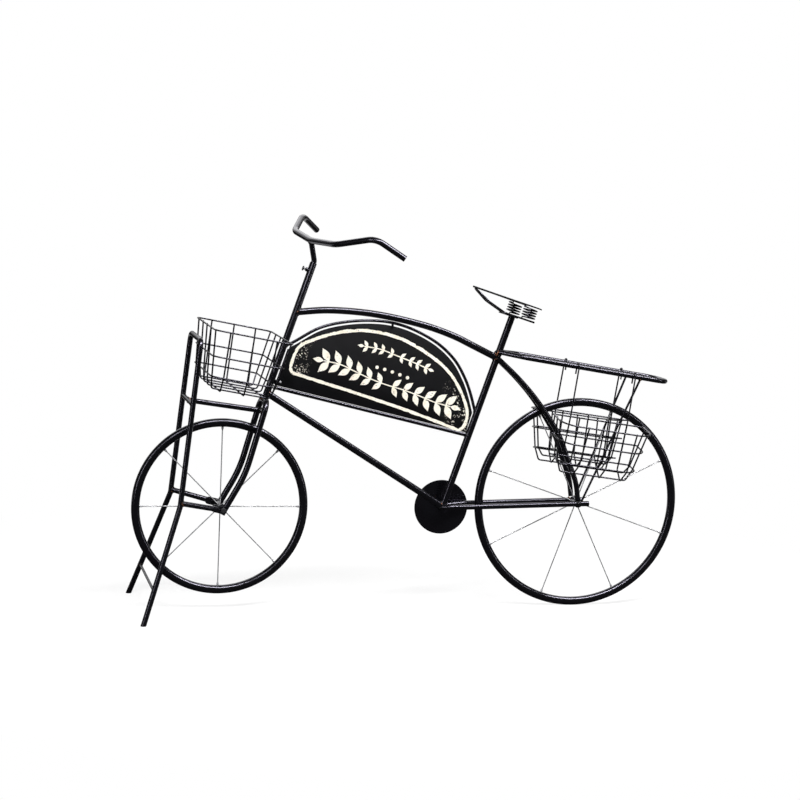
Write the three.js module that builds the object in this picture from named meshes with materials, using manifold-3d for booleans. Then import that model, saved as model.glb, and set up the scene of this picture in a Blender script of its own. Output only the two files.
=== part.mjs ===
// Bicycle planter: a decorative steel bicycle on a front stand, with three hanging wire baskets for pots.
// Millimetres, +Z up. X runs from the front wheel (low X) to the rack (high X), and the left side is low Y.
// Every tube and rod is drawn as a solid bar of its outside diameter.
import * as THREE from 'three';
import { mergeVertices } from 'three/addons/utils/BufferGeometryUtils.js';
import Module from 'manifold-3d';

const wasm = await Module();
wasm.setup();

// Driving dimensions: wheels
const rearWheelDiameter = 562;
const frontWheelDiameter = 458;
const wheelTube = 22;
const wheelbase = 959;
const frontWheelLift = 39;
const spokeCount = 8;
const spokeWire = 3;
const nippleDiameter = 6;
const nippleLength = 9;
const hubDiameter = 24;
const hubEndGap = 0.6;
const axleDiameter = 8;
const axleHeadDiameter = 15;
const axleHeadThickness = 6;
const frontSpokeDegrees = 0;
const rearSpokeDegrees = 19;

// Driving dimensions: frame
const mainTube = 18;
const stayTube = 14;
const headTubeLength = 374;
const headLean = 18;
const crownBehindAxle = 106;
const crownAboveWheel = 49;
const topTubeAboveCrown = 228;
const archRise = 43;
const seatTubeLean = 18.1;
const seatTubeLength = 541;
const bracketAheadOfAxle = 368;
const bracketBelowAxle = 13;
const archAboveBracket = 397;
const stayHalfSpread = 30;
const stayRootSpread = 9;
const stayRootLength = 14;
const stayFlareSpread = 20;
const stayFlareEnd = 80;
const stayFlareDrop = 8.5;
const stayRootBend = 36;
const stayTailLength = 26;
const discDiameter = 145;
const discThickness = 2;
const discOut = 39;
const discBehindBracket = 6;
const discBelowBracket = 8;
const discBossDiameter = 20;

// Driving dimensions: fork, stem and handlebar
const forkTube = 16;
const forkHalfSpread = 48;
const forkCrownRadius = 30;
const forkSweepRadius = 320;
const forkBendAboveAxle = 90;
const forkBendForward = 51;
const forkEndForward = 2;
const forkEndDrop = 12;
const bridgeAboveWheel = 21;
const bridgeRod = 12;
const stemTube = 14;
const stemInsert = 90;
const stemKinkRise = 5;
const stemHeight = 51;
const stemReach = 28;
const handlebarTube = 16;
const handlebarHalfWidth = 260;
const handlebarGripBack = 134;
const handlebarRise = 57;
const handlebarTurn = 15.4;
const gripBendRadius = 50;
const riseBendRadius = 60;
const centreBendRadius = 120;
const thumbScrewDrop = 22;
const thumbScrewShank = 5;
const thumbScrewLength = 15;
const thumbHeadDiameter = 13;
const thumbHeadThickness = 3;
const thumbBossDiameter = 11;
const thumbBossHeight = 5;

// Driving dimensions: stand
const standTube = 14;
const standTopAboveCrown = 160;
const standTopForward = 75;
const standTopHalfWidth = 100;
const standTopRadius = 22;
const kneeAboveAxle = 18;
const standKneeForward = 116;
const standKneeHalfWidth = 105;
const kneeRadius = 30;
const standFootForward = 210;
const standFootHalfWidth = 190;
const rungAboveBridge = 25;
const rungRod = 12;
const braceHeight = 82;
const braceRod = 7;
const lowerBarAboveAxle = 26;
const eyeDiameter = 20;
const eyeThickness = 4;
const eyeReach = 22;

// Driving dimensions: rack
const rackTube = 13;
const rackHalfWidth = 55;
const rackRootSpread = 6;
const rackWideningLength = 60;
const rackCornerRadius = 40;
const rackAboveBracket = 413;
const rackLength = 458;
const rackSlope = 8.45;
const strutRod = 6;
const strutFromRackEnd = 80;
const strutBehindAxle = 3;

// Driving dimensions: saddle
const saddleLength = 172;
const saddleWidth = 190;
const saddleNoseWidth = 26;
const saddleThickness = 4;
const saddleTilt = 17;
const saddleNoseAhead = 110;
const saddleNoseRise = 72;
const railDrop = 41;
const railRod = 5;
const railNoseWidth = 14;
const railHalfWidth = 19;
const railNoseSetback = 8;
const railBendAlong = 99;
const clampAlong = 115;
const clampLength = 36;
const clampWidth = 66;
const clampThickness = 3;
const springWire = 3.6;
const springDiameter = 35.5;
const springTurns = 4;
const springHalfSpread = 72;
const springBackset = 26;

// Driving dimensions: sign
const signArchRod = 8;
const signBaseRod = 10;
const signUprightRod = 5;
const signUprightOffset = 14.4;
const signBaseAboveCrown = 37;
const signBaseAboveBracket = 190;
const signArchAboveCrown = 137;
const signArchAboveBracket = 244;
const signArchRise = 164.5;
const signPlateThickness = 3;
const signPlateGap = 0.6;
const signPlateInset = 8;
const signScrewDiameter = 7;
const signScrewThickness = 2;
const signScrewShank = 3;
const signScrewInset = 14;
const signScrewRise = 14;
const signTabThickness = 2;
const signTabHeight = 14;
const signClipShare = 0.455;
const signClipLength = 16;
const signClipWidth = 6;
const signClipThickness = 2;

// Driving dimensions: baskets
const basketWire = 4.2;
const wireOverlap = 0.9;
const wireBend = 8;
const frontRingBend = 20;
const frontBasketHalfWidth = 175;
const frontBasketDrop = 150;
const frontBasketSlope = 9.7;
const frontBasketAboveStand = 34;
const frontBasketForward = 51;
const frontTaper = 14.5;
const sideTaper = 8;
const frontFloorInset = 24;
const rearFloorInset = 6;
const sideFloorInset = 25;
const crossWireSetback = 6;
const rearBasketLength = 252;
const rearBasketDepth = 98;
const rearBasketDrop = 106;
const rearFloorBackDrop = 122;
const rearFloorDrop = 142;
const rearEndTaper = 17.5;
const rearBackTaper = 6;
const rearOuterTaper = 12;
const rearFloorEndInset = 14;
const rearCornerShare = 0.48;
const rearBasketTilt = 8.4;
const rearBasketSlope = 7.6;
const rearBasketBelowRack = 154;
const rearBasketForward = 96;
const rearBasketOut = 70;
const hangerFrontBack = 48;
const hangerSpacing = 159;
const hookTipLength = 20;

// Clearances and counts
const weldGap = 0.3;
const runningGap = 0.3;
const hookGap = 0.4;
const tubeSides = 10;
const barSides = 8;
const wireSides = 5;
const overrun = 20;
const thinSides = 6;
const topTubeSteps = 16;
const seatStaySteps = 14;
const archSteps = 22;
const plateSteps = 28;
const frontRimSteps = 56;
const discSteps = 40;
const boreSides = 20;
const nutSides = 6;
const eyeSteps = 12;
const rearRimSteps = 64;

const up = new THREE.Vector3(0, 0, 1);
const radians = THREE.MathUtils.degToRad;

// Places worked out from the driving dimensions; the rear axle is at X zero and the floor at Z zero
const rearAxleHeight = rearWheelDiameter / 2;
const frontAxleHeight = frontWheelLift + frontWheelDiameter / 2;
const frontWheelTop = frontWheelLift + frontWheelDiameter;
const frontAxleX = -wheelbase;
const crownHeight = frontWheelTop + crownAboveWheel;
const bridgeHeight = frontWheelTop + bridgeAboveWheel;
const forkBendHeight = frontAxleHeight + forkBendAboveAxle;
const topTubeHeight = crownHeight + topTubeAboveCrown;
const bracketHeight = rearAxleHeight - bracketBelowAxle;
const archSeatHeight = bracketHeight + archAboveBracket;
const rackHeight = bracketHeight + rackAboveBracket;
const standTopHeight = crownHeight + standTopAboveCrown;
const standKneeHeight = frontAxleHeight + kneeAboveAxle;
const lowerBarHeight = frontAxleHeight + lowerBarAboveAxle;
const rungHeight = bridgeHeight + rungAboveBridge;
const signBaseFrontHeight = crownHeight + signBaseAboveCrown;
const signBaseRearHeight = bracketHeight + signBaseAboveBracket;
const signArchFrontHeight = crownHeight + signArchAboveCrown;
const signArchRearHeight = bracketHeight + signArchAboveBracket;
const frontBasketRimHeight = standTopHeight + frontBasketAboveStand;
const rearBasketRimHeight = rackHeight - rearBasketBelowRack;
const headDirection = new THREE.Vector3(Math.sin(radians(headLean)), 0, Math.cos(radians(headLean)));
const crownPoint = new THREE.Vector3(frontAxleX + crownBehindAxle, 0, crownHeight);
const headTop = crownPoint.clone().addScaledVector(headDirection, headTubeLength);
const seatDirection = new THREE.Vector3(Math.sin(radians(seatTubeLean)), 0, Math.cos(radians(seatTubeLean)));
const bracketPoint = new THREE.Vector3(-bracketAheadOfAxle, 0, bracketHeight);
const seatTop = bracketPoint.clone().addScaledVector(seatDirection, seatTubeLength);

const alongHead = (height) => crownPoint.clone()
  .addScaledVector(headDirection, (height - crownPoint.z) / headDirection.z);
const alongSeat = (height) => bracketPoint.clone()
  .addScaledVector(seatDirection, (height - bracketPoint.z) / seatDirection.z);

const blackPaint = new THREE.MeshStandardMaterial({ color: 0x17171b, roughness: 0.38, metalness: 0.25 });
const brightWire = new THREE.MeshStandardMaterial({ color: 0xb9bcc0, roughness: 0.3, metalness: 0.9 });
const zincBolt = new THREE.MeshStandardMaterial({ color: 0x8f9196, roughness: 0.35, metalness: 0.85 });
const signPaint = new THREE.MeshStandardMaterial({ color: 0x1c1d21, roughness: 0.55, metalness: 0.05 });

const point = (x, y, z) => new THREE.Vector3(x, y, z);
const mirrored = (points) => points.map((p) => point(p.x, -p.y, p.z));

// A run of straight lengths joined by round bends, read at its bend points only
class BentRun extends THREE.Curve {
  constructor(corners, bendRadius, bendSteps) {
    super();
    this.stations = [corners[0].clone()];
    this.tangents = [corners[1].clone().sub(corners[0]).normalize()];
    for (let i = 1; i < corners.length - 1; i += 1) {
      const radius = Array.isArray(bendRadius) ? bendRadius[i - 1] : bendRadius;
      this.addBend(corners[i - 1], corners[i], corners[i + 1], radius, bendSteps);
    }
    const last = corners.length - 1;
    this.stations.push(corners[last].clone());
    this.tangents.push(corners[last].clone().sub(corners[last - 1]).normalize());
  }

  addBend(before, corner, after, radius, steps) {
    const incoming = corner.clone().sub(before).normalize();
    const outgoing = after.clone().sub(corner).normalize();
    const angle = incoming.angleTo(outgoing);
    const setback = radius * Math.tan(angle / 2);
    const axis = incoming.clone().cross(outgoing).normalize();
    const towards = outgoing.clone().sub(incoming).normalize();
    const centre = corner.clone().addScaledVector(towards, radius / Math.cos(angle / 2));
    const arm = corner.clone().addScaledVector(incoming, -setback).sub(centre);
    for (let step = 0; step <= steps; step += 1) {
      const turn = steps > 0 ? (angle * step) / steps : angle / 2;
      this.stations.push(centre.clone().add(arm.clone().applyAxisAngle(axis, turn)));
      this.tangents.push(incoming.clone().applyAxisAngle(axis, turn));
    }
  }

  station(share) {
    return Math.round(share * (this.stations.length - 1));
  }

  getPointAt(share, target = new THREE.Vector3()) {
    return target.copy(this.stations[this.station(share)]);
  }

  getTangentAt(share, target = new THREE.Vector3()) {
    return target.copy(this.tangents[this.station(share)]);
  }
}

// A section drawn with few sides keeps the area of its circle, so its corners reach a little further out
const acrossCorners = (diameter, sides) => diameter
  * Math.sqrt(Math.PI / ((sides / 2) * Math.sin((2 * Math.PI) / sides)));

function roundSection(diameter, sides) {
  const radius = acrossCorners(diameter, sides) / 2;
  const corners = [];
  for (let side = 0; side < sides; side += 1) {
    const angle = (2 * Math.PI * side) / sides;
    corners.push(new THREE.Vector2(radius * Math.cos(angle), radius * Math.sin(angle)));
  }
  return new THREE.Shape(corners);
}

function sweep(curve, diameter, sides, steps) {
  return new THREE.ExtrudeGeometry(roundSection(diameter, sides), { steps, extrudePath: curve });
}

function bentTube(corners, diameter, bendRadius = 0, { sides = tubeSides, bendSteps = 3 } = {}) {
  const run = new BentRun(corners, bendRadius, bendSteps);
  return sweep(run, diameter, sides, run.stations.length - 1);
}

function smoothTube(corners, diameter, steps, sides = tubeSides) {
  return sweep(new THREE.CatmullRomCurve3(corners), diameter, sides, steps);
}

function toSolid(geometry) {
  const bare = geometry.clone();
  bare.deleteAttribute('normal');
  bare.deleteAttribute('uv');
  const merged = mergeVertices(bare);
  return new wasm.Manifold(new wasm.Mesh({
    numProp: 3,
    vertProperties: new Float32Array(merged.attributes.position.array),
    triVerts: new Uint32Array(merged.index.array),
  }));
}

function toGeometry(solid) {
  const mesh = solid.getMesh();
  const geometry = new THREE.BufferGeometry();
  geometry.setAttribute('position', new THREE.BufferAttribute(new Float32Array(mesh.vertProperties), 3));
  geometry.setIndex(new THREE.BufferAttribute(new Uint32Array(mesh.triVerts), 1));
  geometry.computeVertexNormals();
  return geometry;
}

function trimmed(geometry, ...cutters) {
  return toGeometry(cutters.reduce((solid, cutter) => solid.subtract(toSolid(cutter)), toSolid(geometry)));
}

function welded(geometries) {
  return toGeometry(geometries.map(toSolid).reduce((joined, next) => joined.add(next)));
}

// A turned piece: its profile is given as [radius, place along Y] pairs
function turned(profile, sides) {
  return new THREE.LatheGeometry(profile.map(([radius, along]) => new THREE.Vector2(radius, along)), sides);
}

// The radius to draw a many-sided bore at, so that its flats too clear this radius
const boredAt = (radius, sides) => radius / Math.cos(Math.PI / sides);

function rod(radius, from, to, sides = barSides) {
  return turned([[0, from], [radius, from], [radius, to], [0, to]], sides);
}

function piece(name, geometry, material, parent) {
  const mesh = new THREE.Mesh(geometry, material);
  mesh.name = name;
  parent.add(mesh);
  return mesh;
}

// Frame

const grown = (diameter) => diameter + 2 * weldGap;
const seatJoint = alongSeat(archSeatHeight);
const rearAxlePoint = point(0, 0, rearAxleHeight);

const headTube = (diameter) => bentTube([crownPoint, headTop], diameter);
const seatTube = (diameter) => bentTube([bracketPoint, seatTop], diameter);
const downTube = (diameter) => bentTube([alongHead(crownHeight + mainTube), bracketPoint], diameter);

function topTube(diameter) {
  const alongShares = [0, 0.144, 0.3, 0.42, 0.55, 0.675, 0.79, 0.87, 1];
  const riseShares = [0, 0.52, 0.853, 0.98, 1, 0.92, 0.7, 0.437, 0];
  const front = alongHead(topTubeHeight);
  const corners = alongShares.map((share, i) => front.clone().lerp(seatJoint, share)
    .addScaledVector(up, archRise * riseShares[i]));
  return smoothTube(corners, diameter, topTubeSteps);
}

function seatStay(side, diameter) {
  const backShares = [0, 0.25, 0.47, 0.73, 0.84, 0.945, 0.98];
  const dropShares = [0, 0.14, 0.29, 0.522, 0.687, 0.85, 0.97];
  const spreadShares = [0.25, 0.39, 0.55, 0.78, 0.89, 1, 1];
  const corners = backShares.map((share, i) => point(
    THREE.MathUtils.lerp(seatJoint.x, rearAxlePoint.x, share),
    side * stayHalfSpread * spreadShares[i],
    THREE.MathUtils.lerp(seatJoint.z, rearAxlePoint.z, dropShares[i]),
  ));
  return smoothTube(corners, diameter, seatStaySteps);
}

// Each chain stay flares out behind the bracket, then runs straight up through the rear axle
function chainStay(side, diameter) {
  const flareX = bracketPoint.x + stayFlareEnd;
  const flareZ = rearAxleHeight - stayFlareDrop;
  const rootZ = THREE.MathUtils.lerp(bracketPoint.z, flareZ, stayRootLength / stayFlareEnd);
  return bentTube([
    point(bracketPoint.x, side * stayRootSpread, bracketPoint.z),
    point(bracketPoint.x + stayRootLength, side * stayFlareSpread, rootZ),
    point(flareX, side * stayHalfSpread, flareZ),
    point(stayTailLength, side * stayHalfSpread, rearAxleHeight - (stayFlareDrop * stayTailLength) / flareX),
  ], diameter, stayRootBend, { bendSteps: 2 });
}

// A long bar through both sides of a wheel, to bore what the axle passes through
function axleBore(x, height) {
  return rod(axleDiameter / 2 + weldGap, -standFootHalfWidth, standFootHalfWidth).translate(x, 0, height);
}

// All that lies past the middle plane on one side, to keep a left and a right piece apart
function pastMiddle(side) {
  const size = wheelbase * 2;
  return new THREE.BoxGeometry(size, size, size).translate(0, side * (size / 2 - weldGap), rearAxleHeight);
}

const rackStartX = alongSeat(rackHeight).x;
const onRack = (along, y) => point(rackStartX + along, y, rackHeight - Math.tan(radians(rackSlope)) * along);

function rack(diameter) {
  const nearSide = [
    onRack(0, -rackRootSpread),
    onRack(rackWideningLength, -rackHalfWidth),
    onRack(rackLength, -rackHalfWidth),
  ];
  return bentTube([...nearSide, ...mirrored(nearSide).reverse()], diameter,
    [rackHalfWidth, rackCornerRadius, rackCornerRadius, rackHalfWidth], { bendSteps: 4 });
}

const rackStrut = (side, diameter) => bentTube([
  onRack(rackLength - strutFromRackEnd, side * rackHalfWidth),
  point(strutBehindAxle, side * stayHalfSpread, rearAxleHeight),
], diameter, 0, { sides: barSides });

function fork(diameter) {
  const blade = [
    point(frontAxleX - forkEndForward, -forkHalfSpread, frontAxleHeight - forkEndDrop),
    point(crownPoint.x - forkBendForward, -forkHalfSpread, forkBendHeight),
    point(crownPoint.x, -forkHalfSpread, crownHeight),
  ];
  return bentTube([...blade, ...mirrored(blade).reverse()], diameter,
    [forkSweepRadius, forkCrownRadius, forkCrownRadius, forkSweepRadius], { bendSteps: 4 });
}

const bladeXAt = (height) => THREE.MathUtils.mapLinear(height, forkBendHeight, crownHeight,
  crownPoint.x - forkBendForward, crownPoint.x);

function forkBridge(diameter) {
  const x = bladeXAt(bridgeHeight);
  return bentTube([point(x, -forkHalfSpread, bridgeHeight), point(x, forkHalfSpread, bridgeHeight)],
    diameter, 0, { sides: barSides });
}

// The top of the saddle's nose, and the top face of the clamp plate that sits on the seat tube
const saddleNose = point(seatTop.x - saddleNoseAhead, 0, seatTop.z + saddleNoseRise);
const clampTop = -railDrop - railRod / 2 + wireOverlap;

function placedOnSaddle(geometry) {
  return geometry.rotateY(radians(saddleTilt)).translate(saddleNose.x, saddleNose.y, saddleNose.z);
}

// What the clamp plate leaves no room for at the top of the seat tube
function aboveSeatTube() {
  const height = mainTube * 4;
  return placedOnSaddle(new THREE.BoxGeometry(saddleLength, saddleWidth, height)
    .translate(clampAlong, 0, clampTop - clampThickness - weldGap + height / 2));
}

function buildFrame() {
  const frame = new THREE.Group();
  const headBore = bentTube([
    headTop.clone().addScaledVector(headDirection, -stemInsert - runningGap),
    headTop.clone().addScaledVector(headDirection, overrun),
  ], acrossCorners(stemTube, tubeSides) + 2 * runningGap, 0, { sides: boreSides });
  const screwBore = rod(boredAt(thumbScrewShank / 2 + runningGap, barSides), 0, mainTube + overrun)
    .rotateZ(Math.PI / 2)
    .translate(0, 0, -thumbScrewDrop)
    .rotateY(radians(headLean))
    .translate(headTop.x, headTop.y, headTop.z);
  const boss = rod(thumbBossDiameter / 2, mainTube / 2 - wireOverlap, mainTube / 2 + thumbBossHeight)
    .rotateZ(Math.PI / 2)
    .translate(0, 0, -thumbScrewDrop)
    .rotateY(radians(headLean))
    .translate(headTop.x, headTop.y, headTop.z);
  const headPiece = trimmed(welded([headTube(mainTube), boss]), fork(grown(forkTube)), headBore, screwBore);
  piece('head_tube', headPiece, blackPaint, frame);
  piece('seat_tube', trimmed(seatTube(mainTube), aboveSeatTube()), blackPaint, frame);
  piece('top_tube', trimmed(topTube(mainTube), headTube(grown(mainTube)), seatTube(grown(mainTube))),
    blackPaint, frame);
  piece('down_tube', trimmed(downTube(mainTube), headTube(grown(mainTube)), seatTube(grown(mainTube)),
    fork(grown(forkTube))), blackPaint, frame);
  for (const [label, side] of [['left', -1], ['right', 1]]) {
    const lower = trimmed(chainStay(side, stayTube), seatTube(grown(mainTube)), downTube(grown(mainTube)),
      axleBore(0, rearAxleHeight), pastMiddle(-side));
    piece(`chain_stay_${label}`, lower, blackPaint, frame);
    const upper = trimmed(seatStay(side, stayTube), seatTube(grown(mainTube)), topTube(grown(mainTube)),
      chainStay(side, grown(stayTube)), pastMiddle(-side), rack(grown(rackTube)));
    piece(`seat_stay_${label}`, upper, blackPaint, frame);
    const strut = trimmed(rackStrut(side, strutRod), rack(grown(rackTube)), chainStay(side, grown(stayTube)),
      seatStay(side, grown(stayTube)));
    piece(`rack_strut_${label}`, strut, blackPaint, frame);
  }
  piece('rack_loop', trimmed(rack(rackTube), seatTube(grown(mainTube))), blackPaint, frame);
  piece('fork', trimmed(fork(forkTube), axleBore(frontAxleX, frontAxleHeight)), blackPaint, frame);
  piece('fork_bridge', trimmed(forkBridge(bridgeRod), fork(grown(forkTube))), blackPaint, frame);

  const disc = trimmed(welded([
    rod(discBossDiameter / 2, 0, discOut + discThickness / 2),
    rod(discDiameter / 2, discOut, discOut + discThickness, discSteps),
  ]).translate(bracketPoint.x + discBehindBracket, 0, bracketPoint.z - discBelowBracket),
  seatTube(grown(mainTube)), downTube(grown(mainTube)), chainStay(1, grown(stayTube)), pastMiddle(-1));
  piece('chain_disc', disc, blackPaint, frame);
  return frame;
}

// Wheels: everything is measured from the axle, and the wheel turns about Y

function hub(length) {
  const bore = boredAt(axleDiameter / 2 + runningGap, tubeSides);
  const ends = length / 2;
  return turned([[bore, -ends], [hubDiameter / 2, -ends], [hubDiameter / 2, ends], [bore, ends],
    [bore, -ends]], tubeSides);
}

function spoke(ringRadius) {
  const start = hubDiameter / 2 + weldGap;
  const end = ringRadius - wheelTube / 2 - 2 * weldGap;
  return turned([[0, start], [spokeWire / 2, start], [spokeWire / 2, end - nippleLength],
    [nippleDiameter / 2, end - nippleLength], [nippleDiameter / 2, end], [0, end]], thinSides);
}

function buildWheel(label, diameter, x, height, hubLength, firstSpoke, segments) {
  const wheel = new THREE.Group();
  wheel.position.set(x, 0, height);
  const ringRadius = (diameter - wheelTube) / 2;
  const ring = new THREE.TorusGeometry(ringRadius, wheelTube / 2, barSides, segments).rotateX(Math.PI / 2);
  piece(`${label}_rim`, ring, blackPaint, wheel);
  piece(`${label}_hub`, hub(hubLength), blackPaint, wheel);
  for (let i = 0; i < spokeCount; i += 1) {
    const wire = piece(`${label}_spoke_${i + 1}`, spoke(ringRadius).rotateX(Math.PI / 2), brightWire, wheel);
    wire.rotation.y = radians(firstSpoke) + (2 * Math.PI * i) / spokeCount;
  }
  return wheel;
}

const frontHubLength = 2 * (forkHalfSpread - forkTube / 2 - hubEndGap);
const rearHubLength = 2 * (stayHalfSpread - stayTube / 2 - hubEndGap);
const eyeInner = forkHalfSpread + forkTube / 2 + 2 * weldGap;
const eyeOuter = eyeInner + eyeThickness;

function buildAxles() {
  const axles = new THREE.Group();
  const headStart = eyeOuter + weldGap;
  const headEnd = headStart + axleHeadThickness;
  const bolt = turned([[0, -headEnd], [axleHeadDiameter / 2, -headEnd], [axleHeadDiameter / 2, -headStart],
    [axleDiameter / 2, -headStart], [axleDiameter / 2, headEnd], [0, headEnd]], barSides);
  piece('front_axle', bolt, zincBolt, axles).position.set(frontAxleX, 0, frontAxleHeight);
  const nutBore = boredAt(axleDiameter / 2 + weldGap, nutSides);
  const nutEnd = headEnd - weldGap;
  const nut = turned([[nutBore, headStart], [axleHeadDiameter / 2, headStart], [axleHeadDiameter / 2, nutEnd],
    [nutBore, nutEnd], [nutBore, headStart]], nutSides);
  piece('front_axle_nut', nut, zincBolt, axles).position.set(frontAxleX, 0, frontAxleHeight);
  const rearEnd = stayHalfSpread + stayTube / 2;
  piece('rear_axle', rod(axleDiameter / 2, -rearEnd, rearEnd), blackPaint, axles)
    .position.set(0, 0, rearAxleHeight);
  return axles;
}

// Handlebar and stem: measured from the top of the head tube, along its axis

function handlebarCorners() {
  const widthShares = [1, 0.835, 0.477];
  const backShares = [1, 0.442, 0.052];
  const riseShares = [0.61, 1, 0.184];
  const nearSide = widthShares.map((share, i) => point(
    -stemReach + handlebarGripBack * backShares[i],
    -handlebarHalfWidth * share,
    stemHeight + handlebarRise * riseShares[i],
  ));
  return [...nearSide, point(-stemReach, 0, stemHeight), ...mirrored(nearSide).reverse()];
}

const handlebar = (diameter) => bentTube(handlebarCorners(), diameter,
  [gripBendRadius, riseBendRadius, centreBendRadius, riseBendRadius, gripBendRadius]);

function buildHandlebar() {
  const head = new THREE.Group();
  head.position.copy(headTop);
  head.rotation.y = radians(headLean);
  const steered = new THREE.Group();
  steered.rotation.z = radians(handlebarTurn);
  head.add(steered);
  const stem = bentTube([
    point(0, 0, -stemInsert), point(0, 0, stemKinkRise), point(-stemReach, 0, stemHeight),
  ], stemTube, stemTube);
  piece('stem', trimmed(stem, handlebar(grown(handlebarTube))), blackPaint, steered);
  piece('handlebar', handlebar(handlebarTube), blackPaint, steered);

  const tip = stemTube / 2 + 2 * runningGap;
  const screwEnd = tip + thumbScrewLength;
  const headStart = screwEnd - thumbHeadThickness;
  const screw = turned([[0, tip], [thumbScrewShank / 2, tip], [thumbScrewShank / 2, headStart],
    [thumbHeadDiameter / 2, headStart], [thumbHeadDiameter / 2, screwEnd], [0, screwEnd]],
  barSides).rotateZ(Math.PI / 2);
  piece('thumb_screw', screw, zincBolt, head).position.z = -thumbScrewDrop;
  return head;
}

// Stand

const kneePoint = (side) => point(frontAxleX - standKneeForward, side * standKneeHalfWidth, standKneeHeight);
const legTop = (side) => point(frontAxleX - standTopForward, side * standTopHalfWidth, standTopHeight);
const footPoint = (side) => point(frontAxleX - standFootForward, side * standFootHalfWidth, 0);

function onLeg(side, height) {
  const aboveKnee = height > standKneeHeight;
  const from = aboveKnee ? kneePoint(side) : footPoint(side);
  const to = aboveKnee ? legTop(side) : kneePoint(side);
  return from.clone().lerp(to, (height - from.z) / (to.z - from.z));
}

function standLoop(diameter) {
  const pastFloor = 1 + overrun / standKneeHeight;
  const leg = [kneePoint(-1).lerp(footPoint(-1), pastFloor), kneePoint(-1), legTop(-1)];
  return bentTube([...leg, ...mirrored(leg).reverse()], diameter,
    [kneeRadius, standTopRadius, standTopRadius, kneeRadius]);
}

function belowFloor() {
  const size = wheelbase * 4;
  return new THREE.BoxGeometry(size, size, size).translate(0, 0, -size / 2);
}

const rung = (diameter) => bentTube([onLeg(-1, rungHeight), onLeg(1, rungHeight)], diameter, 0,
  { sides: barSides });

// A bar that ends in a flat eye plate on the front axle
function lowerBar(side) {
  const from = onLeg(side, lowerBarHeight);
  const eyeY = side * (eyeInner + eyeThickness / 2);
  const eye = point(frontAxleX, eyeY, frontAxleHeight);
  const run = eye.clone().sub(from);
  const flat = Math.hypot(run.x, run.z);
  const barEnd = from.clone().lerp(eye, 1 - eyeReach / flat);
  const bar = bentTube([from, barEnd], standTube, 0, { sides: barSides });
  const outline = new THREE.Shape();
  outline.moveTo(-eyeReach - standTube / 2, -eyeDiameter / 2);
  outline.lineTo(0, -eyeDiameter / 2);
  outline.absarc(0, 0, eyeDiameter / 2, -Math.PI / 2, Math.PI / 2, false);
  outline.lineTo(-eyeReach - standTube / 2, eyeDiameter / 2);
  const hole = new THREE.Path();
  hole.absarc(0, 0, boredAt(axleDiameter / 2 + weldGap, eyeSteps), 0, 2 * Math.PI, true);
  outline.holes.push(hole);
  const depth = eyeThickness;
  const plate = new THREE.ExtrudeGeometry(outline, { depth, bevelEnabled: false, curveSegments: eyeSteps })
    .translate(0, 0, -eyeThickness / 2)
    .rotateX(Math.PI / 2)
    .rotateY(Math.atan2(-run.z, run.x))
    .translate(eye.x, eye.y, eye.z);
  return trimmed(welded([bar, plate]), standLoop(grown(standTube)));
}

function tieBar() {
  const bridge = point(bladeXAt(bridgeHeight), 0, bridgeHeight);
  const start = onLeg(1, rungHeight).setY(0);
  return trimmed(bentTube([start, bridge], standTube, 0, { sides: barSides }), rung(grown(rungRod)),
    forkBridge(grown(bridgeRod)));
}

function buildStand() {
  const stand = new THREE.Group();
  piece('stand_loop', trimmed(standLoop(standTube), belowFloor()), blackPaint, stand);
  piece('stand_rung', trimmed(rung(rungRod), standLoop(grown(standTube))), blackPaint, stand);
  const brace = bentTube([onLeg(-1, braceHeight), onLeg(1, braceHeight)], braceRod, 0, { sides: thinSides });
  piece('stand_brace', trimmed(brace, standLoop(grown(standTube))), blackPaint, stand);
  piece('stand_tie_bar', tieBar(), blackPaint, stand);
  piece('stand_bar_left', lowerBar(-1), blackPaint, stand);
  piece('stand_bar_right', lowerBar(1), blackPaint, stand);
  return stand;
}

// Saddle: measured from the top of its nose, along its top face

function saddlePan() {
  const alongShares = [0, 0.04, 0.25, 0.5, 0.66, 0.8, 0.93, 1];
  const widthShares = [0.5, 1, 1.3, 2.1, 4, 6.6, 7.6, 6.2];
  const half = saddleNoseWidth / 2;
  const near = alongShares.map((share, i) => new THREE.Vector2(saddleLength * share, -half * widthShares[i]));
  const far = near.map((p) => new THREE.Vector2(p.x, -p.y)).reverse();
  return new THREE.ExtrudeGeometry(new THREE.Shape([...near, ...far]),
    { depth: saddleThickness, bevelEnabled: false }).translate(0, 0, -saddleThickness);
}

const springAlong = saddleLength - springBackset;
const railSplay = point(springAlong - railBendAlong, springHalfSpread - railHalfWidth, 0).normalize();

function railCorners() {
  const railDipShare = 0.5;
  const railDipDropShare = 0.66;
  const nearSide = [
    point(springAlong, -springHalfSpread, -railDrop).add(point(railSplay.x, -railSplay.y, 0)
      .multiplyScalar(springDiameter / 2 + railRod)),
    point(railBendAlong, -railHalfWidth, -railDrop),
    point(railBendAlong * railDipShare, -railHalfWidth, -railDrop * railDipDropShare),
    point(railNoseSetback, -railNoseWidth / 2, -saddleThickness - railRod / 2 - weldGap),
  ];
  return [...nearSide, ...mirrored(nearSide).reverse()];
}

const rails = (diameter) => bentTube(railCorners(), diameter,
  [railRod * 3, railRod * 8, railRod, railRod, railRod * 8, railRod * 3], { sides: thinSides, bendSteps: 2 });

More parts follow.
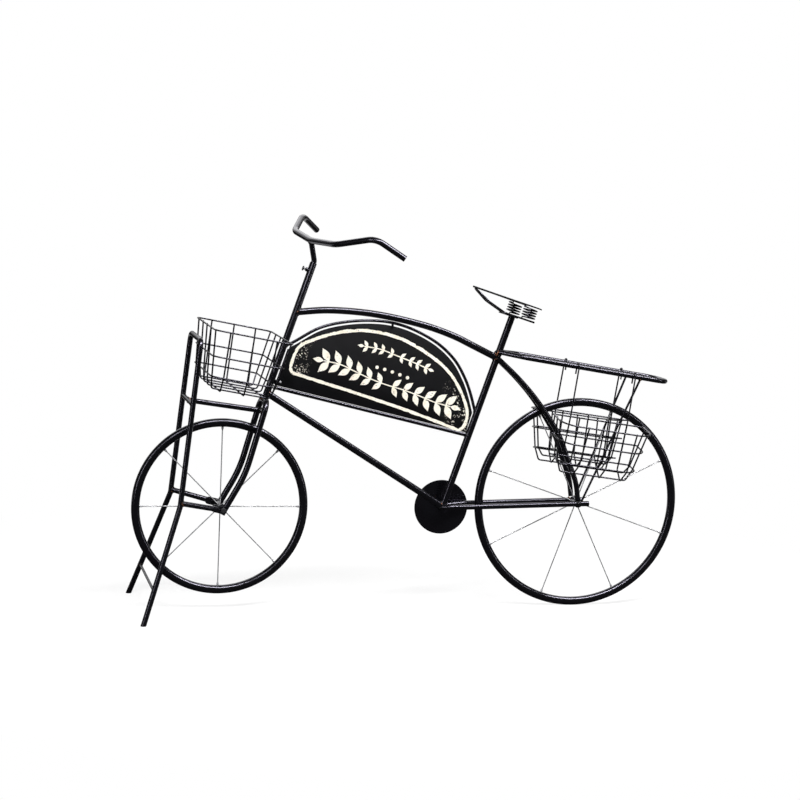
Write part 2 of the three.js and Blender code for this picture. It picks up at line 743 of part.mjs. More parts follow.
// One unbroken coil: it starts and ends in a straight upright, one wire long
function springPoints(side) {
  const stepsPerTurn = 8;
  const bottom = -railDrop + railRod / 2 + weldGap;
  const top = -saddleThickness - weldGap;
  const steps = springTurns * stepsPerTurn;
  const startAngle = Math.atan2(-side * railSplay.y, -railSplay.x);
  const coilStart = bottom + springWire;
  const coilEnd = top - springWire;
  const radius = springDiameter / 2;
  const at = (turn, height) => point(
    springAlong + radius * Math.cos(startAngle + side * turn),
    side * springHalfSpread + radius * Math.sin(startAngle + side * turn),
    height,
  );
  const points = [at(0, bottom)];
  for (let step = 0; step <= steps; step += 1) {
    const height = THREE.MathUtils.lerp(coilStart, coilEnd, step / steps);
    points.push(at((2 * Math.PI * step) / stepsPerTurn, height));
  }
  points.push(at(2 * Math.PI * springTurns, top));
  return points;
}

function leastSelfGap(points, diameter, skip) {
  let least = Infinity;
  for (let i = 0; i < points.length; i += 1) {
    for (let j = i + skip; j < points.length; j += 1) {
      least = Math.min(least, points[i].distanceTo(points[j]) - diameter);
    }
  }
  return least;
}

function spring(side) {
  const points = springPoints(side);
  console.log(`saddle spring, least gap to itself: ${leastSelfGap(points, springWire, 6).toFixed(2)} mm`);
  return bentTube(points, springWire, 0, { sides: wireSides, bendSteps: 0 });
}

function buildSaddle() {
  const saddle = new THREE.Group();
  saddle.position.copy(saddleNose);
  saddle.rotation.y = radians(saddleTilt);
  piece('saddle_pan', saddlePan(), blackPaint, saddle);
  const clamp = new THREE.BoxGeometry(clampLength, clampWidth, clampThickness)
    .translate(clampAlong, 0, clampTop - clampThickness / 2);
  piece('saddle_rails', welded([rails(railRod), clamp]), blackPaint, saddle);
  piece('saddle_spring_left', spring(-1), blackPaint, saddle);
  piece('saddle_spring_right', spring(1), blackPaint, saddle);
  return saddle;
}

// Sign

const headNormal = point(headDirection.z, 0, -headDirection.x);
const behindHead = (height) => alongHead(height).addScaledVector(headNormal, signUprightOffset);

const signArchStart = alongHead(signArchFrontHeight);
const signArchEnd = alongSeat(signArchRearHeight);

function signArchCorners() {
  const alongShares = [0, 0.053, 0.181, 0.331, 0.484, 0.587, 0.691, 0.797, 0.881, 0.935, 0.964, 1];
  const riseShares = [0, 0.143, 0.504, 0.769, 0.945, 1, 0.988, 0.906, 0.743, 0.52, 0.334, 0];
  return alongShares.map((share, i) => signArchStart.clone().lerp(signArchEnd, share)
    .addScaledVector(up, signArchRise * riseShares[i]));
}

const signArch = (diameter) => smoothTube(signArchCorners(), diameter, archSteps, barSides);
const signUpright = (diameter) => bentTube([behindHead(crownHeight + mainTube / 2),
  behindHead(signArchFrontHeight)], diameter, 0, { sides: thinSides });
const signBase = (diameter) => bentTube([behindHead(signBaseFrontHeight), alongSeat(signBaseRearHeight)],
  diameter, 0, { sides: barSides });

// The plate follows the arch a little way inside it, and lies one gap inside the other rods
function signPlate() {
  const archCurve = new THREE.CatmullRomCurve3(signArchCorners());
  const inside = [];
  for (let i = 0; i <= plateSteps; i += 1) {
    const along = archCurve.getTangentAt(i / plateSteps);
    const inward = point(along.z, 0, -along.x);
    inside.push(archCurve.getPointAt(i / plateSteps).addScaledVector(inward, signPlateInset));
  }
  const baseStart = behindHead(signBaseFrontHeight);
  const baseEnd = alongSeat(signBaseRearHeight);
  const below = signBaseRod / 2 + signPlateGap;
  const left = signUprightRod / 2 + signPlateGap;
  const outline = new THREE.Shape([
    ...inside.map((p) => new THREE.Vector2(p.x, p.z)),
    new THREE.Vector2(baseEnd.x, baseEnd.z),
    new THREE.Vector2(baseStart.x, baseStart.z),
  ].reverse());
  const plate = new THREE.ExtrudeGeometry(outline, { depth: signPlateThickness, bevelEnabled: false })
    .rotateX(Math.PI / 2)
    .translate(0, signPlateThickness / 2, 0);
  const screw = rod(signScrewShank / 2 + weldGap, -overrun, overrun).translate(screwPoint.x, 0, screwPoint.z);
  return trimmed(plate, signBase(signBaseRod + 2 * signPlateGap), seatTube(mainTube + 2 * signPlateGap),
    signUpright(signUprightRod + 2 * signPlateGap), screw, belowBase(below), leftOfUpright(left));
}

const screwPoint = behindHead(signBaseFrontHeight).add(point(signScrewInset, 0, signScrewRise));

function belowBase(margin) {
  const from = behindHead(signBaseFrontHeight);
  const to = alongSeat(signBaseRearHeight);
  const size = wheelbase;
  return new THREE.BoxGeometry(size * 2, size, size)
    .translate(0, 0, -size / 2 + margin)
    .rotateY(-Math.atan2(to.z - from.z, to.x - from.x))
    .translate(from.x, 0, from.z);
}

function leftOfUpright(margin) {
  const from = behindHead(signBaseFrontHeight);
  const size = wheelbase;
  return new THREE.BoxGeometry(size, size, size * 2)
    .translate(-size / 2 + margin, 0, 0)
    .rotateY(radians(headLean))
    .translate(from.x, 0, from.z);
}

function buildSign() {
  const sign = new THREE.Group();
  piece('sign_arch', trimmed(signArch(signArchRod), headTube(grown(mainTube)), seatTube(grown(mainTube)),
    topTube(grown(mainTube))), blackPaint, sign);
  const upright = welded([signUpright(signUprightRod), signTab()]);
  piece('sign_upright', trimmed(upright, signArch(grown(signArchRod)), downTube(grown(mainTube)),
    headTube(grown(mainTube))), blackPaint, sign);
  piece('sign_base_rod', trimmed(signBase(signBaseRod), signUpright(grown(signUprightRod)),
    seatTube(grown(mainTube))), blackPaint, sign);
  piece('sign_plate', signPlate(), signPaint, sign);
  const front = signPlateThickness / 2 + weldGap;
  const [outer, inner] = [-front - signScrewThickness, front + signTabThickness];
  const screw = turned([[0, outer], [signScrewDiameter / 2, outer], [signScrewDiameter / 2, -front],
    [signScrewShank / 2, -front], [signScrewShank / 2, inner], [0, inner]], barSides);
  piece('sign_screw', screw, zincBolt, sign).position.copy(screwPoint);
  piece('sign_clip', signClip(), blackPaint, sign);
  return sign;
}

// A small lug behind the plate, in the corner of the upright and the base rod
function signTab() {
  const inner = signPlateThickness / 2 + weldGap;
  const lug = new THREE.BoxGeometry(2 * signScrewInset, signTabThickness, signTabHeight)
    .translate(screwPoint.x - signScrewInset / 4, inner + signTabThickness / 2, screwPoint.z);
  const bore = rod(signScrewShank / 2 + weldGap, -overrun, overrun).translate(screwPoint.x, 0, screwPoint.z);
  return trimmed(lug, signBase(grown(signBaseRod)), bore, headTube(grown(mainTube)));
}

// A strap on the near face, from the arch rod down to the plate
function signClip() {
  const top = new THREE.CatmullRomCurve3(signArchCorners()).getPointAt(signClipShare);
  const near = signArchRod / 2 + weldGap + signClipThickness / 2;
  const strap = new THREE.BoxGeometry(signClipWidth, signClipThickness, signClipLength)
    .translate(top.x, -near, top.z - signClipLength / 2 + signArchRod / 2);
  const footDepth = near - signPlateThickness / 2 - weldGap;
  const foot = new THREE.BoxGeometry(signClipWidth, footDepth, signClipWidth / 2)
    .translate(top.x, -near + footDepth / 2, top.z - signClipLength + signArchRod / 2 + signClipWidth / 4);
  return trimmed(welded([strap, foot]), topTube(grown(mainTube)));
}

// Baskets: each is one body of welded wires, the upright wires inside the level ones

const wire = (corners, radius = wireBend) => bentTube(corners, basketWire, radius,
  { sides: wireSides, bendSteps: 2 });
const wireInset = basketWire - wireOverlap;
const wireTop = basketWire / 2 - wireOverlap / 2;

// The front basket is measured from the middle of its front rim, along the slope of the rim
const frontRingShares = [0, 0.431, 0.767];
const lowRingShare = frontRingShares[frontRingShares.length - 1];
const frontCrossShares = [0.2, 0.5, 0.79];
const frontLengthShares = [-0.914, -0.43, 0, 0.43, 0.914];

// The back of each ring lies against the front of the head tube, where the tube passes its level
function frontRingAt(holder, share) {
  const z = -frontBasketDrop * share;
  const taper = share / lowRingShare;
  const low = holder.worldToLocal(crownPoint.clone());
  const high = holder.worldToLocal(headTop.clone());
  const head = low.lerp(high, (z - low.z) / (high.z - low.z));
  const reach = mainTube / 2 + weldGap + acrossCorners(basketWire, wireSides) / 2;
  return {
    z,
    front: frontTaper * taper,
    rear: head.x - reach / Math.cos(radians(headLean - frontBasketSlope)),
    half: frontBasketHalfWidth - sideTaper * taper,
  };
}

// A ring is bent from two halves that overlap in the middle of its front and of its back
function frontRing(holder, share) {
  const at = frontRingAt(holder, share);
  const half = [point(at.front, basketWire, at.z), point(at.front, -at.half, at.z),
    point(at.rear, -at.half, at.z), point(at.rear, basketWire, at.z)];
  return [wire(half, frontRingBend), wire(mirrored(half), frontRingBend)];
}

function frontCrossWire(holder, share) {
  const x = frontRingAt(holder, 0).rear * share;
  const low = frontRingAt(holder, lowRingShare);
  const half = [point(x, wireInset - frontBasketHalfWidth, wireTop),
    point(x + crossWireSetback, wireInset - low.half, low.z),
    point(x + crossWireSetback, sideFloorInset - frontBasketHalfWidth, -frontBasketDrop)];
  return wire([...half, ...mirrored(half).reverse()]);
}

function frontLengthWire(holder, share) {
  const rim = frontRingAt(holder, 0);
  const low = frontRingAt(holder, lowRingShare);
  const topY = rim.half * share;
  const lowY = low.half * share;
  const floorY = (frontBasketHalfWidth - sideFloorInset) * share;
  const floorZ = wireInset - frontBasketDrop;
  return wire([
    point(rim.front + wireInset, topY, wireTop),
    point(low.front + wireInset, lowY, low.z),
    point(frontFloorInset, floorY, floorZ),
    point(low.rear - wireInset - rearFloorInset, floorY, floorZ),
    point(low.rear - wireInset, lowY, low.z),
    point(rim.rear - wireInset, topY, wireTop),
  ]);
}

function buildFrontBasket() {
  const holder = new THREE.Group();
  holder.position.set(frontAxleX - frontBasketForward, 0, frontBasketRimHeight);
  holder.rotation.y = radians(frontBasketSlope);
  holder.updateMatrixWorld(true);
  const wires = [
    ...frontRingShares.flatMap((share) => frontRing(holder, share)),
    ...frontCrossShares.map((share) => frontCrossWire(holder, share)),
    ...frontLengthShares.map((share) => frontLengthWire(holder, share)),
  ];
  piece('front_basket', welded(wires), blackPaint, holder);
  return holder;
}

// A rear basket, measured from the front end of its back rim, along the slope of the rim
const rearRingShares = [0, 0.48, 1];
const rearCrossShares = [0.285, 0.575, 0.81];
const rearLengthShares = [0.24, 0.56];

function rearRingAt(share) {
  return {
    z: -rearBasketDrop * share,
    start: rearEndTaper * share,
    end: rearBasketLength - rearEndTaper * share,
    back: rearBackTaper * share,
    depth: rearBasketDepth - rearOuterTaper * share,
  };
}

function rearRing(side, share) {
  const at = rearRingAt(share);
  const turn = at.depth * rearCornerShare;
  const bow = bentTube([point(at.start, side * at.back, at.z), point(at.start, side * at.depth, at.z),
    point(at.end, side * at.depth, at.z), point(at.end, side * at.back, at.z)], basketWire, turn,
  { sides: wireSides, bendSteps: 5 });
  const back = wire([point(at.start - basketWire, side * at.back, at.z),
    point(at.end + basketWire, side * at.back, at.z)]);
  return [bow, back];
}

function rearCrossWire(side, share) {
  const x = rearBasketLength * share;
  const low = rearRingAt(1);
  return wire([
    point(x, side * wireInset, wireTop),
    point(x, side * (low.back + wireInset), -rearFloorBackDrop),
    point(x, side * rearBasketDepth / 2, -rearFloorDrop),
    point(x, side * (low.depth - wireInset), low.z),
    point(x, side * (rearBasketDepth - wireInset), wireTop),
  ]);
}

function rearLengthWire(side, share) {
  const low = rearRingAt(1);
  const topY = side * rearBasketDepth * share;
  const lowY = side * low.depth * share;
  const across = (low.depth * share - low.back) / (rearBasketDepth / 2 - low.back);
  const floorZ = wireInset - THREE.MathUtils.lerp(rearFloorBackDrop, rearFloorDrop, across);
  const half = [point(wireInset, topY, wireTop), point(low.start + wireInset, lowY, low.z),
    point(low.start + wireInset + rearFloorEndInset, lowY, floorZ)];
  const other = half.map((p) => point(rearBasketLength - p.x, p.y, p.z)).reverse();
  return wire([...half, ...other]);
}

// A hanger: up the back of the basket, in its slanted plane, and over the side of the rack
function rearHanger(side, holder, along) {
  const low = rearRingAt(1);
  const foot = point(along, side * (low.back - wireInset), low.z);
  const atRim = point(along, -side * wireInset, 0);
  const rim = holder.localToWorld(atRim.clone());
  const rackFall = Math.tan(radians(rackSlope));
  const upward = point(Math.sin(radians(rearBasketSlope)), 0, Math.cos(radians(rearBasketSlope)));
  const climb = (rackHeight - rackFall * (rim.x - rackStartX) - rim.z) / (upward.z + rackFall * upward.x);
  const reach = hookGap + (acrossCorners(rackTube, tubeSides) + acrossCorners(basketWire, wireSides)) / 2;
  const beside = (y, rise) => holder.worldToLocal(rim.clone().addScaledVector(upward, climb + rise).setY(y));
  const outer = side * (rackHalfWidth + reach);
  const inner = side * (rackHalfWidth - reach);
  return bentTube([foot, atRim, beside(outer, reach), beside(inner, reach), beside(inner, -hookTipLength)],
    basketWire, [wireBend, reach, reach], { sides: wireSides, bendSteps: 4 });
}

function buildRearBasket(label, side) {
  const holder = new THREE.Group();
  holder.position.set(-rearBasketForward, side * rearBasketOut, rearBasketRimHeight);
  holder.rotation.order = 'YXZ';
  holder.rotation.y = radians(rearBasketSlope);
  holder.rotation.x = -side * radians(rearBasketTilt);
  holder.updateMatrixWorld(true);
  const wires = [
    ...rearRingShares.flatMap((share) => rearRing(side, share)),
    ...rearCrossShares.map((share) => rearCrossWire(side, share)),
    ...rearLengthShares.map((share) => rearLengthWire(side, share)),
    rearHanger(side, holder, hangerFrontBack),
    rearHanger(side, holder, hangerFrontBack + hangerSpacing),
  ];
  piece(`rear_basket_${label}`, welded(wires), blackPaint, holder);
  return holder;
}

const planter = new THREE.Group();
planter.add(buildFrame(), buildAxles(), buildHandlebar(), buildStand(), buildSaddle(), buildSign());
planter.add(buildWheel('front', frontWheelDiameter, frontAxleX, frontAxleHeight, frontHubLength,
  frontSpokeDegrees, frontRimSteps));
planter.add(buildWheel('rear', rearWheelDiameter, 0, rearAxleHeight, rearHubLength,
  rearSpokeDegrees, rearRimSteps));
planter.add(buildFrontBasket(), buildRearBasket('left', -1), buildRearBasket('right', 1));

// The origin goes on the floor, under the middle of the whole
const extent = new THREE.Box3().setFromObject(planter, true);
planter.position.set(-(extent.min.x + extent.max.x) / 2, -(extent.min.y + extent.max.y) / 2, -extent.min.z);

export default planter;
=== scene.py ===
"""Looks of the bicycle planter: every tube, wire, wheel and plate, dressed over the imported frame."""

import math

import bmesh
import bpy
from mathutils import Matrix, Vector, noise


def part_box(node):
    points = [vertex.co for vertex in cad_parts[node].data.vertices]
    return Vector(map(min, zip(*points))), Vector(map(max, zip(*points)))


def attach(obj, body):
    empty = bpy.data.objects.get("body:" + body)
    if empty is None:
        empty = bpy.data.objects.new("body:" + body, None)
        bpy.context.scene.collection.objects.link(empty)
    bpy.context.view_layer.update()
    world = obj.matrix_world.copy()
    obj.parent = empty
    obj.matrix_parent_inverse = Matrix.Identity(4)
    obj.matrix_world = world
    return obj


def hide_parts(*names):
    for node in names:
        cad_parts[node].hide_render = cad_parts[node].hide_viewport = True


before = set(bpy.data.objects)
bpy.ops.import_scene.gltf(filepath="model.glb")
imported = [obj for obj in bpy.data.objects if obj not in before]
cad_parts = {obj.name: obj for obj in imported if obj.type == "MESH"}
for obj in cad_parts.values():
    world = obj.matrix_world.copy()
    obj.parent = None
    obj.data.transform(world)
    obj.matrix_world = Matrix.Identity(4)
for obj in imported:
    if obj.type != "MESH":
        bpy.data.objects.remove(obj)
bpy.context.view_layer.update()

# Millimetres and degrees, as the solids have them; the rear axle is at X zero and the floor at Z zero
MM = 0.001
REAR_WHEEL, FRONT_WHEEL, WHEEL_TUBE = 562, 458, 22
WHEELBASE, FRONT_LIFT = 959, 39
SPOKES, SPOKE_WIRE, NIPPLE, NIPPLE_LENGTH = 8, 3, 6, 9
HUB, HUB_END_GAP, AXLE, AXLE_HEAD, AXLE_HEAD_HEIGHT = 24, 0.6, 8, 15, 6
FRONT_SPOKE_TURN, REAR_SPOKE_TURN = 0, 19
MAIN_TUBE, STAY_TUBE, FORK_TUBE, STEM_TUBE, HANDLEBAR_TUBE = 18, 14, 16, 14, 16
HEAD_LENGTH, HEAD_LEAN, CROWN_BEHIND, CROWN_HEIGHT = 374, 18, 106, 546
TOP_TUBE_HEIGHT, ARCH_RISE, ARCH_SEAT_HEIGHT = 774, 43, 665
SEAT_LEAN, SEAT_LENGTH, BRACKET_AHEAD, BRACKET_HEIGHT = 18.1, 541, 368, 268
STAY_SPREAD, STAY_ROOT, STAY_ROOT_LENGTH, STAY_ROOT_BEND = 30, 9, 14, 36
STAY_FLARE, STAY_FLARE_END, STAY_FLARE_DROP, STAY_TAIL = 20, 80, 8.5, 26
DISC, DISC_THICK, DISC_OUT, DISC_BOSS, DISC_BEHIND, DISC_BELOW = 145, 2, 39, 20, 6, 8
FORK_SPREAD, FORK_CROWN_BEND, FORK_SWEEP = 48, 30, 320
FORK_BEND_HEIGHT, FORK_BEND_FORWARD, FORK_END_FORWARD, FORK_END_DROP = 358, 51, 2, 12
BRIDGE_HEIGHT, BRIDGE_ROD = 518, 12
STEM_INSERT, STEM_KINK, STEM_HEIGHT, STEM_REACH = 90, 5, 51, 28
BAR_HALF, BAR_GRIP_BACK, BAR_RISE, BAR_TURN = 260, 134, 57, 15.4
THUMB_DROP, THUMB_SHANK, THUMB_LENGTH, THUMB_HEAD, THUMB_HEAD_THICK = 22, 5, 15, 13, 3
THUMB_BOSS, THUMB_BOSS_HEIGHT = 11, 5
STAND_TUBE, STAND_TOP, STAND_TOP_FORWARD, STAND_TOP_HALF, STAND_TOP_BEND = 14, 706, 75, 100, 22
KNEE_HEIGHT, KNEE_FORWARD, KNEE_HALF, KNEE_BEND = 286, 116, 105, 30
FOOT_FORWARD, FOOT_HALF = 210, 190
RUNG_HEIGHT, RUNG_ROD, BRACE_HEIGHT, BRACE_ROD, LOWER_BAR_HEIGHT = 543, 12, 82, 7, 294
EYE, EYE_THICK, EYE_REACH = 20, 4, 22
RACK_TUBE, RACK_HALF, RACK_ROOT, RACK_WIDENING, RACK_CORNER = 13, 55, 6, 60, 40
RACK_HEIGHT, RACK_LENGTH, RACK_SLOPE = 681, 458, 8.45
STRUT_ROD, STRUT_FROM_END, STRUT_BEHIND = 6, 80, 3
SADDLE_LENGTH, SADDLE_NOSE, SADDLE_THICK, SADDLE_TILT = 172, 26, 4, 17
SADDLE_NOSE_AHEAD, SADDLE_NOSE_RISE = 110, 72
RAIL_DROP, RAIL_ROD, RAIL_NOSE, RAIL_HALF, RAIL_SETBACK, RAIL_BEND = 41, 5, 14, 19, 8, 99
CLAMP_ALONG, CLAMP_LENGTH, CLAMP_WIDTH, CLAMP_THICK = 115, 36, 66, 3
SPRING_WIRE, SPRING_WIDE, SPRING_TURNS, SPRING_HALF, SPRING_BACK = 3.6, 35.5, 4, 72, 26
ARCH_ROD, BASE_ROD, UPRIGHT_ROD, UPRIGHT_OFFSET = 8, 10, 5, 14.4
BASE_FRONT, BASE_REAR, ARCH_FRONT, ARCH_REAR, SIGN_RISE = 583, 458, 683, 512, 164.5
PLATE_THICK, PLATE_GAP, PLATE_INSET = 3, 0.6, 8
SIGN_SCREW_IN, SIGN_SCREW_UP = 14, 14
CLIP_SHARE, CLIP_LENGTH, CLIP_WIDTH, CLIP_THICK = 0.455, 16, 6, 2
WIRE, WIRE_LAP, WIRE_BEND, FRONT_RING_BEND = 4.2, 0.9, 8, 20
FRONT_HALF, FRONT_DROP, FRONT_SLOPE, FRONT_RIM_HEIGHT, FRONT_FORWARD = 175, 150, 9.7, 740, 51
FRONT_TAPER, SIDE_TAPER, FLOOR_FRONT, FLOOR_REAR, FLOOR_SIDE, CROSS_SETBACK = 14.5, 8, 24, 6, 25, 6
PANNIER_LENGTH, PANNIER_DEPTH, PANNIER_DROP, PANNIER_TILT, PANNIER_SLOPE = 252, 98, 106, 8.4, 7.6
PANNIER_RIM, PANNIER_FORWARD, PANNIER_OUT = 527, 96, 70
PANNIER_FLOOR_BACK, PANNIER_FLOOR, PANNIER_FLOOR_END, PANNIER_END_TAPER = 122, 142, 14, 17.5
PANNIER_BACK_TAPER, PANNIER_OUTER_TAPER, PANNIER_CORNER_SHARE = 6, 12, 0.48
HANGER_FRONT, HANGER_SPACING, HOOK_TIP, HOOK_GAP = 48, 159, 20, 0.4

# Sizes of what the scene alone has
WELD_BEAD, WELD_STEPS, EASED, LESS_EASED = 3.4, 28, 0.6, 0.5
STEM_GAP, STEM_BORE, EYE_GAP, CLEARANCE = 0.9, 40, 0.6, 0.3
RACK_WELD_ALONG, RACK_WELD_OUT, ROOT_SLANT, SEAT_TUBE_SHORT, SEAT_WELD_DROP = 30, 24, 0.45, 3, 4
BAR_BENDS, BAR_MIDDLE = [50, 60, 120, 60, 50], 70
PAST_FLOOR, TONGUE, FLATTENED = 1.06, 0.35, 0.62
LUG_SIZE, LUG_BEHIND = (24, 2, 12), 4
RING_BEAD, RING_BEAD_STEPS, RACK_SLANT, WIRE_SLANT = (1.4, 4, 0.8), 16, 1.034, 1.149
BORDER_WIDE, PAINT_THICK, SIGN_LONG, SIGN_TALL = 8, 0.35, 514, 304
STEM_LINE, BERRY = 3.2, 4.6
BIG_TUBE_SIDES, TUBE_SIDES, ROD_SIDES = 28, 24, 16

rear_low, rear_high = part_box("rear_rim")
ORIGIN = Vector(((rear_low.x + rear_high.x) / 2, (rear_low.y + rear_high.y) / 2, 0)) / MM
SIDES = (("left", -1), ("right", 1))


def vec(x, y, z):
    return Vector((x, y, z))


def leaning(degrees):
    return vec(math.sin(math.radians(degrees)), 0, math.cos(math.radians(degrees)))


def mirrored(points):
    return [vec(p.x, -p.y, p.z) for p in points]


def on_both_sides(near):
    return near + mirrored(near)[::-1]


# Places worked out from the sizes
ALONG, ACROSS = vec(1, 0, 0), vec(0, 1, 0)
FRONT_X, FRONT_Z, REAR_Z = -WHEELBASE, FRONT_LIFT + FRONT_WHEEL / 2, REAR_WHEEL / 2
HEAD_DIR, SEAT_DIR = leaning(HEAD_LEAN), leaning(SEAT_LEAN)
HEAD_BACK = vec(HEAD_DIR.z, 0, -HEAD_DIR.x)
CROWN = vec(FRONT_X + CROWN_BEHIND, 0, CROWN_HEIGHT)
HEAD_TOP = CROWN + HEAD_DIR * HEAD_LENGTH
BRACKET = vec(-BRACKET_AHEAD, 0, BRACKET_HEIGHT)
SEAT_TOP = BRACKET + SEAT_DIR * SEAT_LENGTH
HEAD_WALL, SEAT_WALL = (CROWN, HEAD_DIR, MAIN_TUBE), (BRACKET, SEAT_DIR, MAIN_TUBE)


def on_head(height):
    return CROWN + HEAD_DIR * ((height - CROWN.z) / HEAD_DIR.z)


def on_seat(height):
    return BRACKET + SEAT_DIR * ((height - BRACKET.z) / SEAT_DIR.z)


def behind_head(height):
    return on_head(height) + HEAD_BACK * UPRIGHT_OFFSET


def bent(corners, radii=0, steps=10):
    """Straight lengths joined by round bends."""
    if not isinstance(radii, (list, tuple)):
        radii = [radii] * (len(corners) - 2)
    path = [corners[0].copy()]
    for before, corner, after, radius in zip(corners, corners[1:], corners[2:], radii):
        incoming, outgoing = (corner - before).normalized(), (after - corner).normalized()
        angle = incoming.angle(outgoing)
        if radius == 0 or angle < 0.001:
            path.append(corner.copy())
            continue
        axis = incoming.cross(outgoing).normalized()
        centre = corner + (outgoing - incoming).normalized() * (radius / math.cos(angle / 2))
        arm = corner - incoming * (radius * math.tan(angle / 2)) - centre
        path += [centre + Matrix.Rotation(angle * step / steps, 3, axis) @ arm for step in range(steps + 1)]
    path.append(corners[-1].copy())
    return path


def smooth(corners, steps=60):
    """A centripetal Catmull-Rom run through the corners, as the frame's arched tubes have."""
    path = []
    last = len(corners) - 1
    for place in range(steps + 1):
        whole = place / steps * last
        i = min(int(whole), last - 1)
        t = whole - i
        p1, p2 = corners[i], corners[i + 1]
        p0 = corners[i - 1] if i > 0 else p1 * 2 - p2
        p3 = corners[i + 2] if i + 2 <= last else p2 * 2 - p1
        d0, d1, d2 = ((b - a).length ** 0.5 for a, b in ((p0, p1), (p1, p2), (p2, p3)))
        m1 = ((p1 - p0) / d0 - (p2 - p0) / (d0 + d1) + (p2 - p1) / d1) * d1
        m2 = ((p2 - p1) / d1 - (p3 - p1) / (d1 + d2) + (p3 - p2) / d2) * d1
        path.append(p1 + m1 * t + (p2 * 3 - p1 * 3 - m1 * 2 - m2) * t ** 2
                    + (p1 * 2 - p2 * 2 + m1 + m2) * t ** 3)
    return path


def at_share(path, share):
    """The place at this share of a path's whole length."""
    left = share * sum((b - a).length for a, b in zip(path, path[1:]))
    for a, b in zip(path, path[1:]):
        if left <= (b - a).length:
            return a.lerp(b, left / (b - a).length)
        left -= (b - a).length
    return path[-1]


# Making meshes

def placed(point):
    return (point + ORIGIN) * MM


def add_object(name, data):
    thing = bpy.data.objects.new(name, data)
    bpy.context.scene.collection.objects.link(thing)
    return thing


def shaded(mesh, angle=40):
    mesh.shade_smooth()
    mesh.set_sharp_from_angle(angle=math.radians(angle))
    return mesh


def tubes(paths, diameter, sides=20, closed=False):
    curve = bpy.data.curves.new("path", "CURVE")
    curve.dimensions = "3D"
    curve.bevel_depth = diameter / 2 * MM
    curve.bevel_resolution = (sides - 4) // 2
    curve.use_fill_caps = not closed
    for path in paths:
        spline = curve.splines.new("POLY")
        spline.points.add(len(path) - 1)
        for point, place in zip(spline.points, path):
            point.co = (*placed(place), 1)
        spline.use_cyclic_u = closed
    holder = add_object("path", curve)
    mesh = bpy.data.meshes.new_from_object(holder.evaluated_get(bpy.context.evaluated_depsgraph_get()))
    bpy.data.objects.remove(holder)
    bpy.data.curves.remove(curve)
    return shaded(mesh)


def tube(path, diameter, sides=20):
    return tubes([path], diameter, sides)


def mesh_of(shape, angle=40):
    mesh = bpy.data.meshes.new("mesh")
    shape.to_mesh(mesh)
    shape.free()
    return shaded(mesh, angle)


def made(shape, angle=40):
    """The mesh of a finished shape, with its faces turned outwards."""
    bmesh.ops.recalc_face_normals(shape, faces=shape.faces)
    return mesh_of(shape, angle)


def joined(*meshes):
    shape = bmesh.new()
    for mesh in meshes:
        shape.from_mesh(mesh)
    return mesh_of(shape)


def spun(shape, geometry, centre, axis, steps):
    bmesh.ops.spin(shape, geom=geometry, cent=placed(centre), axis=axis, angle=2 * math.pi, steps=steps,
                   use_merge=True)
    bmesh.ops.remove_doubles(shape, verts=shape.verts, dist=0.00001)


def turned(profile, centre, axis, steps=32):
    """A turned piece: its profile is (radius, place along the axis) pairs, spun round the axis."""
    axis = axis.normalized()
    outwards = axis.orthogonal().normalized()
    shape = bmesh.new()
    verts = [shape.verts.new(placed(centre + outwards * r + axis * along)) for r, along in profile]
    edges = [shape.edges.new(pair) for pair in zip(verts, verts[1:])]
    spun(shape, verts + edges, centre, axis, steps)
    return made(shape, 30)


def rod_profile(radius, low, high):
    """A solid rod with its end edges taken off a little."""
    inner, start, end = radius - LESS_EASED, low + LESS_EASED, high - LESS_EASED
    return [(0, low), (inner, low), (radius, start), (radius, end), (inner, high), (0, high)]


def rim(centre, radius, thickness):
    shape = bmesh.new()
    section = Matrix.Translation(placed(centre + vec(radius, 0, 0)))
    bmesh.ops.create_circle(shape, segments=24, radius=thickness / 2 * MM, matrix=section)
    spun(shape, shape.verts[:] + shape.edges[:], centre, ACROSS, 144)
    return made(shape)


def ease_edges(shape, edges, width):
    bmesh.ops.bevel(shape, geom=edges, offset=width * MM, segments=2, profile=0.5, affect="EDGES",
                    material=-1)


def sharp_edges(shape, least_angle):
    """Edges whose faces meet at more than this angle, in radians."""
    return [e for e in shape.edges if e.calc_face_angle(0) > least_angle]


def thicken(shape, faces, rise):
    """Raises faces into a slab; the rise is in metres."""
    top = bmesh.ops.extrude_face_region(shape, geom=faces)["geom"]
    bmesh.ops.translate(shape, vec=rise, verts=[v for v in top if isinstance(v, bmesh.types.BMVert)])


def set_down(shape, place, turn):
    """Turns a shape that was made at the origin and moves it to its place."""
    matrix = Matrix.Translation(placed(place)) @ turn.to_4x4()
    bmesh.ops.transform(shape, matrix=matrix, verts=shape.verts)
    return made(shape, 50)


def block(size, place, turn=Matrix.Identity(3)):
    shape = bmesh.new()
    bmesh.ops.create_cube(shape, size=1)
    bmesh.ops.scale(shape, vec=size * MM, verts=shape.verts)
    ease_edges(shape, shape.edges[:], EASED)
    return set_down(shape, place, turn)


def hexagon(centre, axis, across, low, high):
    shape = bmesh.new()
    radius = across / 2 * MM
    bmesh.ops.create_cone(shape, cap_ends=True, segments=6, radius1=radius, radius2=radius,
                          depth=(high - low) * MM)
    ease_edges(shape, shape.edges[:], LESS_EASED)
    turn = vec(0, 0, 1).rotation_difference(axis).to_matrix()
    return set_down(shape, centre + axis * ((low + high) / 2), turn)


def piece(name, mesh, body, nodes, finish):
    mesh.name = name
    mesh.materials.clear()
    for material in finish if isinstance(finish, list) else [finish]:
        mesh.materials.append(material)
    thing = add_object(name, mesh)
    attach(thing, body)
    if nodes:
        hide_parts(*nodes)


